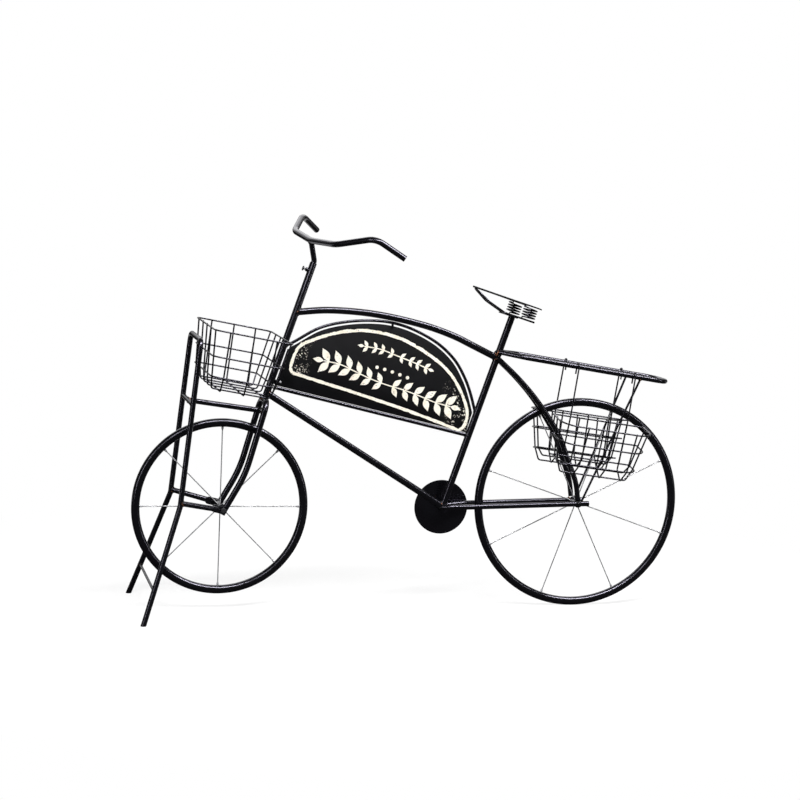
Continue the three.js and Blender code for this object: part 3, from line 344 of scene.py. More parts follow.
def skin(node, mesh, body="frame", finish=None, name=None):
    """A piece that takes the place of one of the frame's solids."""
    piece(name or f"{node}_skin", mesh, body, [node], finish or black)


# Finishes

class Value:
    """A number from the shader's nodes that takes part in Python sums."""

    def __init__(self, finish, socket):
        self.finish = finish
        self.socket = socket

    def math(self, operation, other, swapped=False):
        terms = [other, self] if swapped else [self, other]
        node = self.finish.node("ShaderNodeMath", {"operation": operation}, dict(enumerate(terms)))
        return Value(self.finish, node.outputs[0])

    def __add__(self, other):
        return self.math("ADD", other)

    def __sub__(self, other):
        return self.math("SUBTRACT", other)

    def __rsub__(self, other):
        return self.math("SUBTRACT", other, swapped=True)

    def __mul__(self, other):
        return self.math("MULTIPLY", other)

    __radd__ = __add__
    __rmul__ = __mul__

    def between(self, low, high):
        """0 at low, 1 at high, eased."""
        node = self.finish.node("ShaderNodeMapRange", {"interpolation_type": "SMOOTHSTEP"},
                                {"Value": self, "From Min": low, "From Max": high})
        return Value(self.finish, node.outputs[0])


class Finish:
    """One material, or the world's background, made by adding nodes to its tree."""

    SOCKETS = {"colour": "Base Color", "rough": "Roughness", "metal": "Metallic",
               "shine": "Specular IOR Level", "shine_colour": "Specular Tint"}

    def __init__(self, name, world=None):
        self.material = world or bpy.data.materials.new(name)
        self.material.use_nodes = True
        self.tree = self.material.node_tree
        self.shader = self.tree.nodes.get("Principled BSDF")
        self.place = self.node("ShaderNodeTexCoord").outputs["Object"]

    def node(self, kind, settings=None, inputs=None):
        node = self.tree.nodes.new(kind)
        for name, value in (settings or {}).items():
            setattr(node, name, value)
        for name, value in (inputs or {}).items():
            self.feed(node.inputs[name], value)
        return node

    def feed(self, socket, value):
        if isinstance(value, Value):
            value = value.socket
        if isinstance(value, bpy.types.NodeSocket):
            self.tree.links.new(value, socket)
        else:
            socket.default_value = value

    def grain(self, per_metre, detail=3):
        """Noise at a real scale, in grains to the metre."""
        node = self.node("ShaderNodeTexNoise", None,
                         {"Vector": self.place, "Scale": per_metre, "Detail": detail})
        return Value(self, node.outputs["Fac"])

    def seen_as_background(self, behind):
        """1 for what the camera sees, and for what shines or clear surfaces show of the backdrop behind."""
        paths = self.node("ShaderNodeLightPath").outputs
        camera, glossy, clear = (Value(self, paths[f"Is {kind} Ray"])
                                 for kind in ("Camera", "Glossy", "Transmission"))
        return camera.math("MAXIMUM", glossy.math("MAXIMUM", clear) * behind)

    def part(self, vector, letter):
        return Value(self, self.node("ShaderNodeSeparateXYZ", None, {0: vector}).outputs[letter])

    def blend(self, share, low, high):
        inputs = {"Factor": share, 6: low, 7: high}
        return self.node("ShaderNodeMix", {"data_type": "RGBA"}, inputs).outputs[2]

    def bump(self, height, depth):
        node = self.node("ShaderNodeBump", None, {"Height": height, "Distance": depth, "Strength": 1})
        self.feed(self.shader.inputs["Normal"], node.outputs[0])

    def set(self, **values):
        for name, value in values.items():
            self.feed(self.shader.inputs[self.SOCKETS[name]], value)


def grey(level, blue=0.0):
    return (level, level, level + blue, 1)


BLACK, DUSTY_BLACK = grey(0.0015, 0.0005), grey(0.006, 0.002)
DRAWN_STEEL, TARNISHED_STEEL = grey(0.45, 0.02), grey(0.3, 0.01)
ZINC, DARK_ZINC = grey(0.13, 0.01), grey(0.05, 0.005)
CREAM, WORN_CREAM = (0.93, 0.88, 0.76, 1), (0.55, 0.48, 0.33, 1)
COPPER = (0.19, 0.075, 0.035, 1)
LILAC = (0.86, 0.83, 1.0, 1)


def black_paint_finish():
    """Gloss black with a little dust; its highlights are faintly lilac."""
    finish = Finish("black paint")
    cloud = finish.grain(14, 4)
    fine = finish.grain(900, 2)
    dust = finish.grain(260, 6).between(0.62, 0.8)
    finish.set(colour=finish.blend(dust * 0.6 + cloud * 0.15, BLACK, DUSTY_BLACK),
               rough=0.16 + cloud * 0.12 + dust * 0.1, shine=0.65, shine_colour=LILAC)
    finish.bump(fine * 0.05 + finish.grain(120, 3), 0.000025)
    return finish.material


def saddle_black_finish():
    """Satin paint with a fine grain, as pressed saddles have, that hardly mirrors."""
    finish = Finish("saddle black")
    grain = finish.grain(420, 3)
    finish.set(colour=finish.blend(grain.between(0.4, 0.8), BLACK, DUSTY_BLACK), rough=0.55 + grain * 0.15,
               shine=0.2)
    finish.bump(grain, 0.0002)
    return finish.material


def weld_finish():
    """Black over rough beads, rubbed to copper brown in spots."""
    finish = Finish("weld bead")
    spots = finish.grain(55, 3).between(0.55, 0.64)
    scale = finish.grain(700, 3)
    finish.set(colour=finish.blend(spots, BLACK, COPPER), rough=0.34 + scale * 0.3, metal=spots * 0.5,
               shine=0.3)
    finish.bump(scale + finish.grain(230, 3), 0.0006)
    return finish.material


def bright_wire_finish():
    finish = Finish("bright wire")
    drawn = finish.grain(500, 3)
    tarnish = finish.grain(30, 4).between(0.4, 0.75)
    finish.set(colour=finish.blend(tarnish, DRAWN_STEEL, TARNISHED_STEEL),
               rough=0.22 + drawn * 0.16 + tarnish * 0.12, metal=0.4)
    finish.bump(drawn, 0.0001)
    return finish.material


def zinc_finish():
    finish = Finish("zinc bolt")
    spangle = finish.grain(400, 4)
    finish.set(colour=finish.blend(spangle.between(0.35, 0.7), ZINC, DARK_ZINC), rough=0.28 + spangle * 0.2,
               metal=0.9)
    finish.bump(spangle, 0.00015)
    return finish.material


def side_of_line(finish, start, end, way):
    """1 above the line through two places on the sign, or below it with way -1."""
    fall = (end.z - start.z) / (end.x - start.x)
    along, up = finish.part(finish.place, "X"), finish.part(finish.place, "Z")
    return ((up - along * fall - (start.z - fall * start.x)) * way).between(0, 0.004)


def sign_black_finish(left_end, right_end, low_line, right_line):
    """Satin black with cream flecks rubbed through near both ends, inside the border."""
    finish = Finish("sign black")
    flecks = finish.grain(330, 4).between(0.585, 0.615) * finish.grain(85, 3).between(0.48, 0.55)
    along = finish.part(finish.place, "X")
    fade = 1 - along.between(left_end + 0.015, left_end + 0.055)
    near_left = along.between(left_end, left_end + 0.01) * fade
    near_right = along.between(right_end - 0.07, right_end - 0.02) * side_of_line(finish, *right_line, -1)
    shown = flecks * side_of_line(finish, *low_line, 1) * (near_left + near_right)
    haze = finish.grain(20, 5)
    base = finish.blend(haze * 0.5, BLACK, DUSTY_BLACK)
    finish.set(colour=finish.blend(shown, base, CREAM), rough=0.42 + haze * 0.15, shine=0.2)
    finish.bump(finish.grain(260, 4) + shown * 0.6, 0.00025)
    return finish.material


def cream_finish():
    """Old cream paint, chipped through to the black under it."""
    finish = Finish("cream paint")
    chips = finish.grain(210, 6).between(0.62, 0.65)
    patches = finish.grain(38, 2).between(0.42, 0.62)
    chipped = chips * (0.25 + patches * 0.75)
    aged = finish.grain(60, 5).between(0.45, 0.8)
    cream = finish.blend(aged * 0.45, CREAM, WORN_CREAM)
    finish.set(colour=finish.blend(chipped, cream, DUSTY_BLACK), rough=0.5 + aged * 0.2, shine=0.4)
    finish.bump(1 - chipped + finish.grain(300, 3) * 0.2, 0.0002)
    return finish.material


black = black_paint_finish()
saddle_black = saddle_black_finish()
weld = weld_finish()
bright = bright_wire_finish()
zinc = zinc_finish()
cream = cream_finish()


# Weld beads: each follows the line where one tube's wall enters another

beads = []


def around(axis, arm):
    return [Matrix.Rotation(2 * math.pi * step / WELD_STEPS, 3, axis) @ arm for step in range(WELD_STEPS)]


def weld_line(end, inner, share, rod, axis_point, axis_dir, wall):
    """The line where a rod's end meets the wall of another tube, given by a place on that tube's axis, its
    direction and its width. The search starts this share of the way from the end to a place inwards."""
    start, towards = end.lerp(inner, share), (end - inner).normalized()
    axis_dir = axis_dir.normalized()
    line = []
    for arm in around(towards, towards.orthogonal().normalized() * (rod / 2)):
        point = start + arm - axis_point
        across = point - axis_dir * point.dot(axis_dir)
        run = towards - axis_dir * towards.dot(axis_dir)
        a, b, c = run.length_squared, 2 * across.dot(run), across.length_squared - (wall / 2) ** 2
        depth = b * b - 4 * a * c
        reach = (-b - math.sqrt(depth)) / (2 * a) if depth > 0 else -b / (2 * a)
        line.append(start + arm + towards * reach)
    return line


def bead(*joint):
    beads.append(weld_line(*joint))


# Frame

def top_tube_path():
    along_shares = [0, 0.144, 0.3, 0.42, 0.55, 0.675, 0.79, 0.87, 1]
    rise_shares = [0, 0.52, 0.853, 0.98, 1, 0.92, 0.7, 0.437, 0]
    front, back = on_head(TOP_TUBE_HEIGHT), on_seat(ARCH_SEAT_HEIGHT)
    return smooth([front.lerp(back, share) + vec(0, 0, ARCH_RISE * rise)
                   for share, rise in zip(along_shares, rise_shares)])


def seat_stay_path(side):
    back_shares = [0, 0.25, 0.47, 0.73, 0.84, 0.945, 0.98]
    drop_shares = [0, 0.14, 0.29, 0.522, 0.687, 0.85, 0.97]
    spread_shares = [0.25, 0.39, 0.55, 0.78, 0.89, 1, 1]
    top = on_seat(ARCH_SEAT_HEIGHT)
    return smooth([vec(top.x * (1 - back), side * STAY_SPREAD * spread, top.z + (REAR_Z - top.z) * drop)
                   for back, drop, spread in zip(back_shares, drop_shares, spread_shares)])


def chain_stay_path(side):
    flare = vec(BRACKET.x + STAY_FLARE_END, side * STAY_SPREAD, REAR_Z - STAY_FLARE_DROP)
    root_z = BRACKET.z + (flare.z - BRACKET.z) * STAY_ROOT_LENGTH / STAY_FLARE_END
    tail_z = REAR_Z - STAY_FLARE_DROP * STAY_TAIL / flare.x
    return bent([vec(BRACKET.x, side * STAY_ROOT, BRACKET.z),
                 vec(BRACKET.x + STAY_ROOT_LENGTH, side * STAY_FLARE, root_z), flare,
                 vec(STAY_TAIL, side * STAY_SPREAD, tail_z)], STAY_ROOT_BEND)


def rack_place(along, y):
    start = on_seat(RACK_HEIGHT)
    return vec(start.x + along, y, RACK_HEIGHT - math.tan(math.radians(RACK_SLOPE)) * along)


def rack_path():
    near = [rack_place(0, -RACK_ROOT), rack_place(RACK_WIDENING, -RACK_HALF),
            rack_place(RACK_LENGTH, -RACK_HALF)]
    return bent(on_both_sides(near), [RACK_HALF, RACK_CORNER, RACK_CORNER, RACK_HALF])


def fork_path():
    blade = [vec(FRONT_X - FORK_END_FORWARD, -FORK_SPREAD, FRONT_Z - FORK_END_DROP),
             vec(CROWN.x - FORK_BEND_FORWARD, -FORK_SPREAD, FORK_BEND_HEIGHT),
             vec(CROWN.x, -FORK_SPREAD, CROWN_HEIGHT)]
    return bent(on_both_sides(blade), [FORK_SWEEP, FORK_CROWN_BEND, FORK_CROWN_BEND, FORK_SWEEP])


def blade_x(height):
    share = (height - FORK_BEND_HEIGHT) / (CROWN_HEIGHT - FORK_BEND_HEIGHT)
    return CROWN.x - FORK_BEND_FORWARD * (1 - share)


def head_tube_mesh():
    """Open at the top, round the stem, with the thumb screw's boss on its front."""
    outer, inner, top, deep = MAIN_TUBE / 2, STEM_TUBE / 2 + STEM_GAP, HEAD_LENGTH, STEM_BORE
    wall = turned([(0, 0), (outer, 0), (outer, top - 0.8), (outer - 0.4, top), (inner + 0.3, top),
                   (inner, top - 0.6), (inner, top - deep), (0, top - deep)], CROWN, HEAD_DIR, 40)
    bore, edge, low, high = THUMB_SHANK / 2 + 0.4, THUMB_BOSS / 2, outer - 1, outer + THUMB_BOSS_HEIGHT
    boss = turned([(bore, low), (edge, low), (edge, high - 0.5), (edge - 0.5, high), (bore, high),
                   (bore, low)], HEAD_TOP - HEAD_DIR * THUMB_DROP, -HEAD_BACK)
    return joined(wall, boss)


def build_frame():
    skin("head_tube", head_tube_mesh())
    skin("seat_tube", tube([BRACKET, SEAT_TOP - SEAT_DIR * SEAT_TUBE_SHORT], MAIN_TUBE, BIG_TUBE_SIDES))
    top = top_tube_path()
    skin("top_tube", tube(top, MAIN_TUBE, BIG_TUBE_SIDES))
    bead(top[0], top[3], 1, MAIN_TUBE, *HEAD_WALL)
    bead(top[-1], top[-4], 1, MAIN_TUBE, *SEAT_WALL)
    down_top = on_head(CROWN_HEIGHT + MAIN_TUBE)
    skin("down_tube", tube([down_top, BRACKET], MAIN_TUBE, BIG_TUBE_SIDES))
    bead(down_top, BRACKET, 0.1, MAIN_TUBE, *HEAD_WALL)
    bead(BRACKET, down_top, 0.1, MAIN_TUBE, *SEAT_WALL)
    for label, side in SIDES:
        build_frame_side(label, side)
    skin("rack_loop", tube(rack_path(), RACK_TUBE, TUBE_SIDES), name="rack_skin")
    for _, side in SIDES:
        start = rack_place(RACK_WELD_ALONG, side * RACK_WELD_OUT)
        bead(start + vec(-1, -ROOT_SLANT * side, 0), start, 1, RACK_TUBE, *SEAT_WALL)
    skin("fork", tube(fork_path(), FORK_TUBE, BIG_TUBE_SIDES))
    bead(CROWN, CROWN + HEAD_DIR * 30, 1, MAIN_TUBE, CROWN, ACROSS, FORK_TUBE)
    bridge = [vec(blade_x(BRIDGE_HEIGHT), side * FORK_SPREAD, BRIDGE_HEIGHT) for _, side in SIDES]
    skin("fork_bridge", tube(bridge, BRIDGE_ROD))
    blade_dir = vec(FORK_BEND_FORWARD, 0, CROWN_HEIGHT - FORK_BEND_HEIGHT)
    for near, far in (bridge, bridge[::-1]):
        bead(near, far, 0.3, BRIDGE_ROD, near, blade_dir, FORK_TUBE)
    build_disc()


def build_frame_side(label, side):
    upper, lower = seat_stay_path(side), chain_stay_path(side)
    skin(f"seat_stay_{label}", tube(upper, STAY_TUBE, TUBE_SIDES))
    skin(f"chain_stay_{label}", tube(lower, STAY_TUBE, TUBE_SIDES))
    bead(upper[-1], upper[-4], 1, STAY_TUBE, lower[-1], ALONG, STAY_TUBE)
    top = rack_place(RACK_LENGTH - STRUT_FROM_END, side * RACK_HALF)
    foot = vec(STRUT_BEHIND, side * STAY_SPREAD, REAR_Z)
    skin(f"rack_strut_{label}", tube([top, foot], STRUT_ROD, ROD_SIDES))
    bead(foot, top, 0.12, STRUT_ROD, foot, ALONG, STAY_TUBE)
    bead(top, foot, 0.12, STRUT_ROD, top, rack_place(1, 0) - rack_place(0, 0), RACK_TUBE)


def build_disc():
    """The chain disc, with a pressed rim and a domed bolt head."""
    radius, outer = DISC / 2, DISC_OUT + DISC_THICK
    profile = [(0, 4), (DISC_BOSS / 2, 4), (DISC_BOSS / 2, DISC_OUT), (radius - 0.6, DISC_OUT),
               (radius, DISC_OUT + 0.6), (radius, outer - 0.6), (radius - 0.6, outer), (radius - 6, outer),
               (radius - 7, outer - 0.6), (DISC_BOSS, outer - 0.6), (DISC_BOSS - 1, outer), (7, outer),
               (6.5, outer + 0.4), (0, outer + 0.8)]
    centre = vec(BRACKET.x + DISC_BEHIND, 0, BRACKET.z - DISC_BELOW)
    skin("chain_disc", turned(profile, centre, ACROSS, 72))


# Wheels and axles

def build_wheel(label, diameter, centre, hub_length, first_spoke):
    body = f"{label}_wheel"
    radius = (diameter - WHEEL_TUBE) / 2
    skin(f"{label}_rim", rim(centre, radius, WHEEL_TUBE), body)
    half, bore, flange, barrel = hub_length / 2, AXLE / 2 + CLEARANCE, HUB / 2, HUB / 2 - 2
    profile = [(bore, -half), (flange - 0.8, -half), (flange, -half + 0.8), (flange, -half + 5),
               (barrel, -half + 7), (barrel, half - 7), (flange, half - 5), (flange, half - 0.8),
               (flange - 0.8, half), (bore, half), (bore, -half)]
    skin(f"{label}_hub", turned(profile, centre, ACROSS, 40), body)
    start, end = HUB / 2 - 3, radius - WHEEL_TUBE / 2 + 0.5
    wire, cap, cap_start = SPOKE_WIRE / 2, NIPPLE / 2, end - NIPPLE_LENGTH
    wire_profile = [(0, start), (wire, start), (wire, cap_start + 1), (0, cap_start + 1)]
    cap_profile = [(0, cap_start), (wire + 0.3, cap_start), (cap - 0.4, cap_start + 3), (cap, cap_start + 4),
                   (cap, end), (0, end)]
    for i in range(SPOKES):
        angle = math.radians(first_spoke) + 2 * math.pi * i / SPOKES
        direction = vec(math.sin(angle), 0, math.cos(angle))
        wire_mesh = turned(wire_profile, centre, direction, 16)
        mesh = joined(wire_mesh, turned(cap_profile, centre, direction, 16))
        for face in mesh.polygons[len(wire_mesh.polygons):]:
            face.material_index = 1
        skin(f"{label}_spoke_{i + 1}", mesh, body, [bright, black])


def build_axles():
    centre = vec(FRONT_X, 0, FRONT_Z)
    seat = FORK_SPREAD + FORK_TUBE / 2 + EYE_GAP + EYE_THICK + CLEARANCE
    shaft = turned(rod_profile(AXLE / 2, -seat, seat + AXLE_HEAD_HEIGHT), centre, ACROSS)
    head = hexagon(centre, ACROSS, AXLE_HEAD, -seat - AXLE_HEAD_HEIGHT, -seat)
    skin("front_axle", joined(shaft, head), "frame", zinc)
    nut = hexagon(centre, ACROSS, AXLE_HEAD, seat, seat + AXLE_HEAD_HEIGHT - 0.5)
    skin("front_axle_nut", nut, "frame", zinc)
    end = STAY_SPREAD + STAY_TUBE / 2
    skin("rear_axle", turned(rod_profile(AXLE / 2, -end, end), vec(0, 0, REAR_Z), ACROSS), "frame", weld)


# Handlebar and stem, in the head tube's own directions

def head_place(along, across, rise):
    turn = Matrix.Rotation(math.radians(HEAD_LEAN), 3, "Y") @ Matrix.Rotation(math.radians(BAR_TURN), 3, "Z")
    return HEAD_TOP + turn @ vec(along, across, rise)


def build_steering():
    width_shares, back_shares, rise_shares = [1, 0.835, 0.477], [1, 0.442, 0.052], [0.61, 1, 0.184]
    near = [vec(-STEM_REACH + BAR_GRIP_BACK * back, -BAR_HALF * wide, STEM_HEIGHT + BAR_RISE * rise)
            for wide, back, rise in zip(width_shares, back_shares, rise_shares)]
    corners = near + [vec(-STEM_REACH, 0, STEM_HEIGHT)] + mirrored(near)[::-1]
    bar = bent([head_place(*p) for p in corners], BAR_BENDS, 14)
    skin("handlebar", tube(bar, HANDLEBAR_TUBE, BIG_TUBE_SIDES), "steering")
    clamp = head_place(-STEM_REACH, 0, STEM_HEIGHT)
    stem = bent([head_place(0, 0, -STEM_INSERT), head_place(0, 0, STEM_KINK), clamp], STEM_TUBE)
    skin("stem", tube(stem, STEM_TUBE, BIG_TUBE_SIDES), "steering")
    middle = [p for p in bar if (p - clamp).length < BAR_MIDDLE]
    line = weld_line(clamp, stem[-2], 1, STEM_TUBE, clamp, middle[-1] - middle[0], HANDLEBAR_TUBE)
    piece("stem_weld", tubes([line], WELD_BEAD, 10, closed=True), "steering", [], weld)


def build_thumb_screw():
    tip, shank, edge = STEM_TUBE / 2 + 0.6, THUMB_SHANK / 2, THUMB_HEAD / 2
    end = tip + THUMB_LENGTH
    head = end - THUMB_HEAD_THICK
    profile = [(0, tip), (shank - 0.5, tip), (shank, tip + 0.6), (shank, head - 1), (shank + 1, head),
               (edge - 0.8, head), (edge, head + 0.8), (edge, end - 0.8), (edge - 0.8, end), (0, end)]
    mesh = turned(profile, HEAD_TOP - HEAD_DIR * THUMB_DROP, -HEAD_BACK, 20)
    skin("thumb_screw", mesh, "thumb_screw", zinc)


# Stand

def knee(side):
    return vec(FRONT_X - KNEE_FORWARD, side * KNEE_HALF, KNEE_HEIGHT)


def leg_top(side):
    return vec(FRONT_X - STAND_TOP_FORWARD, side * STAND_TOP_HALF, STAND_TOP)


def foot(side):
    return vec(FRONT_X - FOOT_FORWARD, side * FOOT_HALF, 0)


def leg_part(side, height):
    """The ends of the straight part of a leg at this height."""
    return (knee(side), leg_top(side)) if height > KNEE_HEIGHT else (foot(side), knee(side))


def on_leg(side, height):
    low, high = leg_part(side, height)
    return low.lerp(high, (height - low.z) / (high.z - low.z))


def stand_mesh():
    """The bent loop, its feet cut flat at the floor."""
    leg = [knee(-1).lerp(foot(-1), PAST_FLOOR), knee(-1), leg_top(-1)]
    path = bent(on_both_sides(leg), [KNEE_BEND, STAND_TOP_BEND, STAND_TOP_BEND, KNEE_BEND])
    shape = bmesh.new()
    shape.from_mesh(tube(path, STAND_TUBE, TUBE_SIDES))
    cut = bmesh.ops.bisect_plane(shape, geom=shape.verts[:] + shape.edges[:] + shape.faces[:], dist=0.000001,
                                 plane_co=(0, 0, 0), plane_no=(0, 0, -1), clear_outer=True)
    edges = [e for e in cut["geom_cut"] if isinstance(e, bmesh.types.BMEdge)]
    bmesh.ops.holes_fill(shape, edges=edges, sides=0)
    return made(shape)


def lower_bar_mesh(side):
    """A lower bar, squeezed flat at its end, with its eye round the front axle."""
    centre = vec(FRONT_X, side * (FORK_SPREAD + FORK_TUBE / 2 + EYE_GAP + EYE_THICK / 2), FRONT_Z)
    start = on_leg(side, LOWER_BAR_HEIGHT)
    run = centre - start
    along = vec(run.x, 0, run.z).normalized()
    shape = bmesh.new()
    bmesh.ops.create_circle(shape, cap_ends=True, segments=40, radius=EYE / 2 * MM)
    for vert in shape.verts:
        if vert.co.x < 0:
            vert.co.x -= EYE_REACH * MM
    thicken(shape, shape.faces[:], (0, 0, EYE_THICK * MM))
    bmesh.ops.translate(shape, vec=(0, 0, -EYE_THICK / 2 * MM), verts=shape.verts)
    ease_edges(shape, sharp_edges(shape, 1), EASED)
    eye = set_down(shape, centre, Matrix((along, along.cross(ACROSS) * -1, ACROSS)).transposed())
    bar_end = start.lerp(centre, 1 - EYE_REACH / math.hypot(run.x, run.z))
    tip = bar_end.lerp(centre, TONGUE)
    bar = tube([start, bar_end, tip], STAND_TUBE, TUBE_SIDES)
    for vert in bar.vertices:
        if (vert.co - placed(tip)).dot((bar_end - start).normalized()) > -0.001:
            vert.co.y += (placed(tip).y - vert.co.y) * FLATTENED
    return joined(bar, eye)


def build_stand():
    skin("stand_loop", stand_mesh(), name="stand_skin")
    for name, height, rod in (("stand_rung", RUNG_HEIGHT, RUNG_ROD),
                              ("stand_brace", BRACE_HEIGHT, BRACE_ROD)):
        ends = [on_leg(side, height) for _, side in SIDES]
        skin(name, tube(ends, rod))
        for near, far, side in (*ends, -1), (*ends[::-1], 1):
            low, high = leg_part(side, height)
            bead(near, far, 0.2, rod, near, high - low, STAND_TUBE)
    start, end = on_leg(1, RUNG_HEIGHT), vec(blade_x(BRIDGE_HEIGHT), 0, BRIDGE_HEIGHT)
    start.y = 0
    skin("stand_tie_bar", tube([start, end], STAND_TUBE, TUBE_SIDES))
    bead(start, end, 0.2, STAND_TUBE, start, ACROSS, RUNG_ROD)
    bead(end, start, 0.2, STAND_TUBE, end, ACROSS, BRIDGE_ROD)
    for label, side in SIDES:
        skin(f"stand_bar_{label}", lower_bar_mesh(side))
        start = on_leg(side, LOWER_BAR_HEIGHT)
        inner = vec(FRONT_X, side * (FORK_SPREAD + FORK_TUBE / 2), FRONT_Z)
        bead(start, inner, 0.3, STAND_TUBE, start, leg_top(-1) - knee(-1), STAND_TUBE)


# Saddle, measured from the top of its nose along its top face

SADDLE_TURN = Matrix.Rotation(math.radians(SADDLE_TILT), 3, "Y")
SPRING_ALONG = SADDLE_LENGTH - SPRING_BACK


def saddle_place(along, across, rise):
    nose = vec(SEAT_TOP.x - SADDLE_NOSE_AHEAD, 0, SEAT_TOP.z + SADDLE_NOSE_RISE)
    return nose + SADDLE_TURN @ vec(along, across, rise)


def saddle_half_width(share):
    along_shares = [0, 0.04, 0.25, 0.5, 0.66, 0.8, 0.93, 1]
    width_shares = [0.5, 1, 1.3, 2.1, 4, 6.6, 7.6, 6.2]
    last = len(along_shares) - 1
    i = next((i for i in range(last) if share <= along_shares[i + 1]), last - 1)
    t = (share - along_shares[i]) / (along_shares[i + 1] - along_shares[i])
    a, b = width_shares[i], width_shares[i + 1]
    slope_a = (b - width_shares[max(i - 1, 0)]) / 2
    slope_b = (width_shares[min(i + 2, last)] - a) / 2
    eased = (a * (1 + 2 * t) * (1 - t) ** 2 + slope_a * t * (1 - t) ** 2
             + b * t * t * (3 - 2 * t) + slope_b * t * t * (t - 1))
    return SADDLE_NOSE / 2 * max(eased, 0.2)


def saddle_pan_mesh():
    """A pressed plate: narrow nose, wide back, its edges drawn down a little."""
    shape = bmesh.new()
    bmesh.ops.create_grid(shape, x_segments=48, y_segments=20, size=1)
    for vert in shape.verts:
        share, across = (vert.co.x + 1) / 2, vert.co.y
        back_bow = 1.4 * (1 - across * across) * share ** 8
        edge_drop = 0.64 * abs(across) ** 3
        crown = -1 + 0.8 * math.cos(across * math.pi / 2)
        vert.co = placed(saddle_place(SADDLE_LENGTH * share - back_bow, saddle_half_width(share) * across,
                                      crown - edge_drop))
    bmesh.ops.solidify(shape, geom=shape.faces[:], thickness=(SADDLE_THICK - 0.5) * MM)
    return made(shape, 50)


def rail_path():
    splay = vec(SPRING_ALONG - RAIL_BEND, SPRING_HALF - RAIL_HALF, 0).normalized()
    reach = SPRING_WIDE / 2 + RAIL_ROD
    near = [vec(SPRING_ALONG + splay.x * reach, -SPRING_HALF - splay.y * reach, -RAIL_DROP),
            vec(RAIL_BEND, -RAIL_HALF, -RAIL_DROP), vec(RAIL_BEND * 0.5, -RAIL_HALF, -RAIL_DROP * 0.66),
            vec(RAIL_SETBACK, -RAIL_NOSE / 2, -SADDLE_THICK - RAIL_ROD / 2)]
    radii = [RAIL_ROD * 3, RAIL_ROD * 8, RAIL_ROD]
    return bent([saddle_place(*p) for p in on_both_sides(near)], radii + radii[::-1], 8)


def spring_path(side):
    bottom, top = -RAIL_DROP + RAIL_ROD / 2, -SADDLE_THICK
    low, high = bottom + SPRING_WIRE, top - SPRING_WIRE
    splay = math.atan2(-side * (SPRING_HALF - RAIL_HALF), -(SPRING_ALONG - RAIL_BEND))
    radius, steps = SPRING_WIDE / 2, SPRING_TURNS * 28

    def coil(share, rise):
        angle = splay + side * 2 * math.pi * SPRING_TURNS * share
        return saddle_place(SPRING_ALONG + radius * math.cos(angle),
                            side * SPRING_HALF + radius * math.sin(angle), rise)

    turns = [coil(step / steps, low + (high - low) * step / steps) for step in range(steps + 1)]
    return [coil(0, bottom - 1), *turns, coil(1, top + 1)]


def build_saddle():
    skin("saddle_pan", saddle_pan_mesh(), finish=saddle_black)
    clamp_top = -RAIL_DROP - RAIL_ROD / 2 + WIRE_LAP
    clamp = block(vec(CLAMP_LENGTH, CLAMP_WIDTH, CLAMP_THICK),
                  saddle_place(CLAMP_ALONG, 0, clamp_top - CLAMP_THICK / 2), SADDLE_TURN)
    skin("saddle_rails", joined(tube(rail_path(), RAIL_ROD, ROD_SIDES), clamp))
    for label, side in SIDES:
        skin(f"saddle_spring_{label}", tube(spring_path(side), SPRING_WIRE, 14))
    arm = vec(SEAT_DIR.z, 0, -SEAT_DIR.x) * (MAIN_TUBE / 2)
    beads.append([SEAT_TOP - SEAT_DIR * SEAT_WELD_DROP + out for out in around(SEAT_DIR, arm)])


# Sign

def arch_path():
    along_shares = [0, 0.053, 0.181, 0.331, 0.484, 0.587, 0.691, 0.797, 0.881, 0.935, 0.964, 1]
    rise_shares = [0, 0.143, 0.504, 0.769, 0.945, 1, 0.988, 0.906, 0.743, 0.52, 0.334, 0]
    start, end = on_head(ARCH_FRONT), on_seat(ARCH_REAR)
    return smooth([start.lerp(end, share) + vec(0, 0, SIGN_RISE * rise)
                   for share, rise in zip(along_shares, rise_shares)], 72)


def plate_outline():
    """Inside the arch, and clear of the upright, the base rod and the seat tube."""
    base_start, base_end = behind_head(BASE_FRONT), on_seat(BASE_REAR)
    left = base_start + HEAD_BACK * (UPRIGHT_ROD / 2 + PLATE_GAP)
    seat_gap = (MAIN_TUBE / 2 + PLATE_GAP) / SEAT_DIR.z

    def lowest(x):
        fall = (base_end.z - base_start.z) * (x - base_start.x) / (base_end.x - base_start.x)
        return base_start.z + fall + (BASE_ROD / 2 + PLATE_GAP)

    def left_x(z):
        return left.x + (z - left.z) * HEAD_DIR.x / HEAD_DIR.z

    def right_x(z):
        return on_seat(z).x - seat_gap

    arch = arch_path()
    inside = []
    for before, point, after in zip(arch, arch[1:], arch[2:]):
        along = (after - before).normalized()
        inside.append(point + vec(along.z, 0, -along.x) * PLATE_INSET)
    kept = [p for p in inside if left_x(p.z) < p.x < right_x(p.z) and p.z > lowest(p.x)]
    foot_left = vec(left_x(lowest(left.x)), 0, lowest(left.x))
    foot_right_z = lowest(right_x(BASE_REAR))
    head_end = vec(left_x(kept[0].z), 0, kept[0].z - 2)
    return [foot_left, head_end, *kept, vec(right_x(foot_right_z), 0, foot_right_z)]


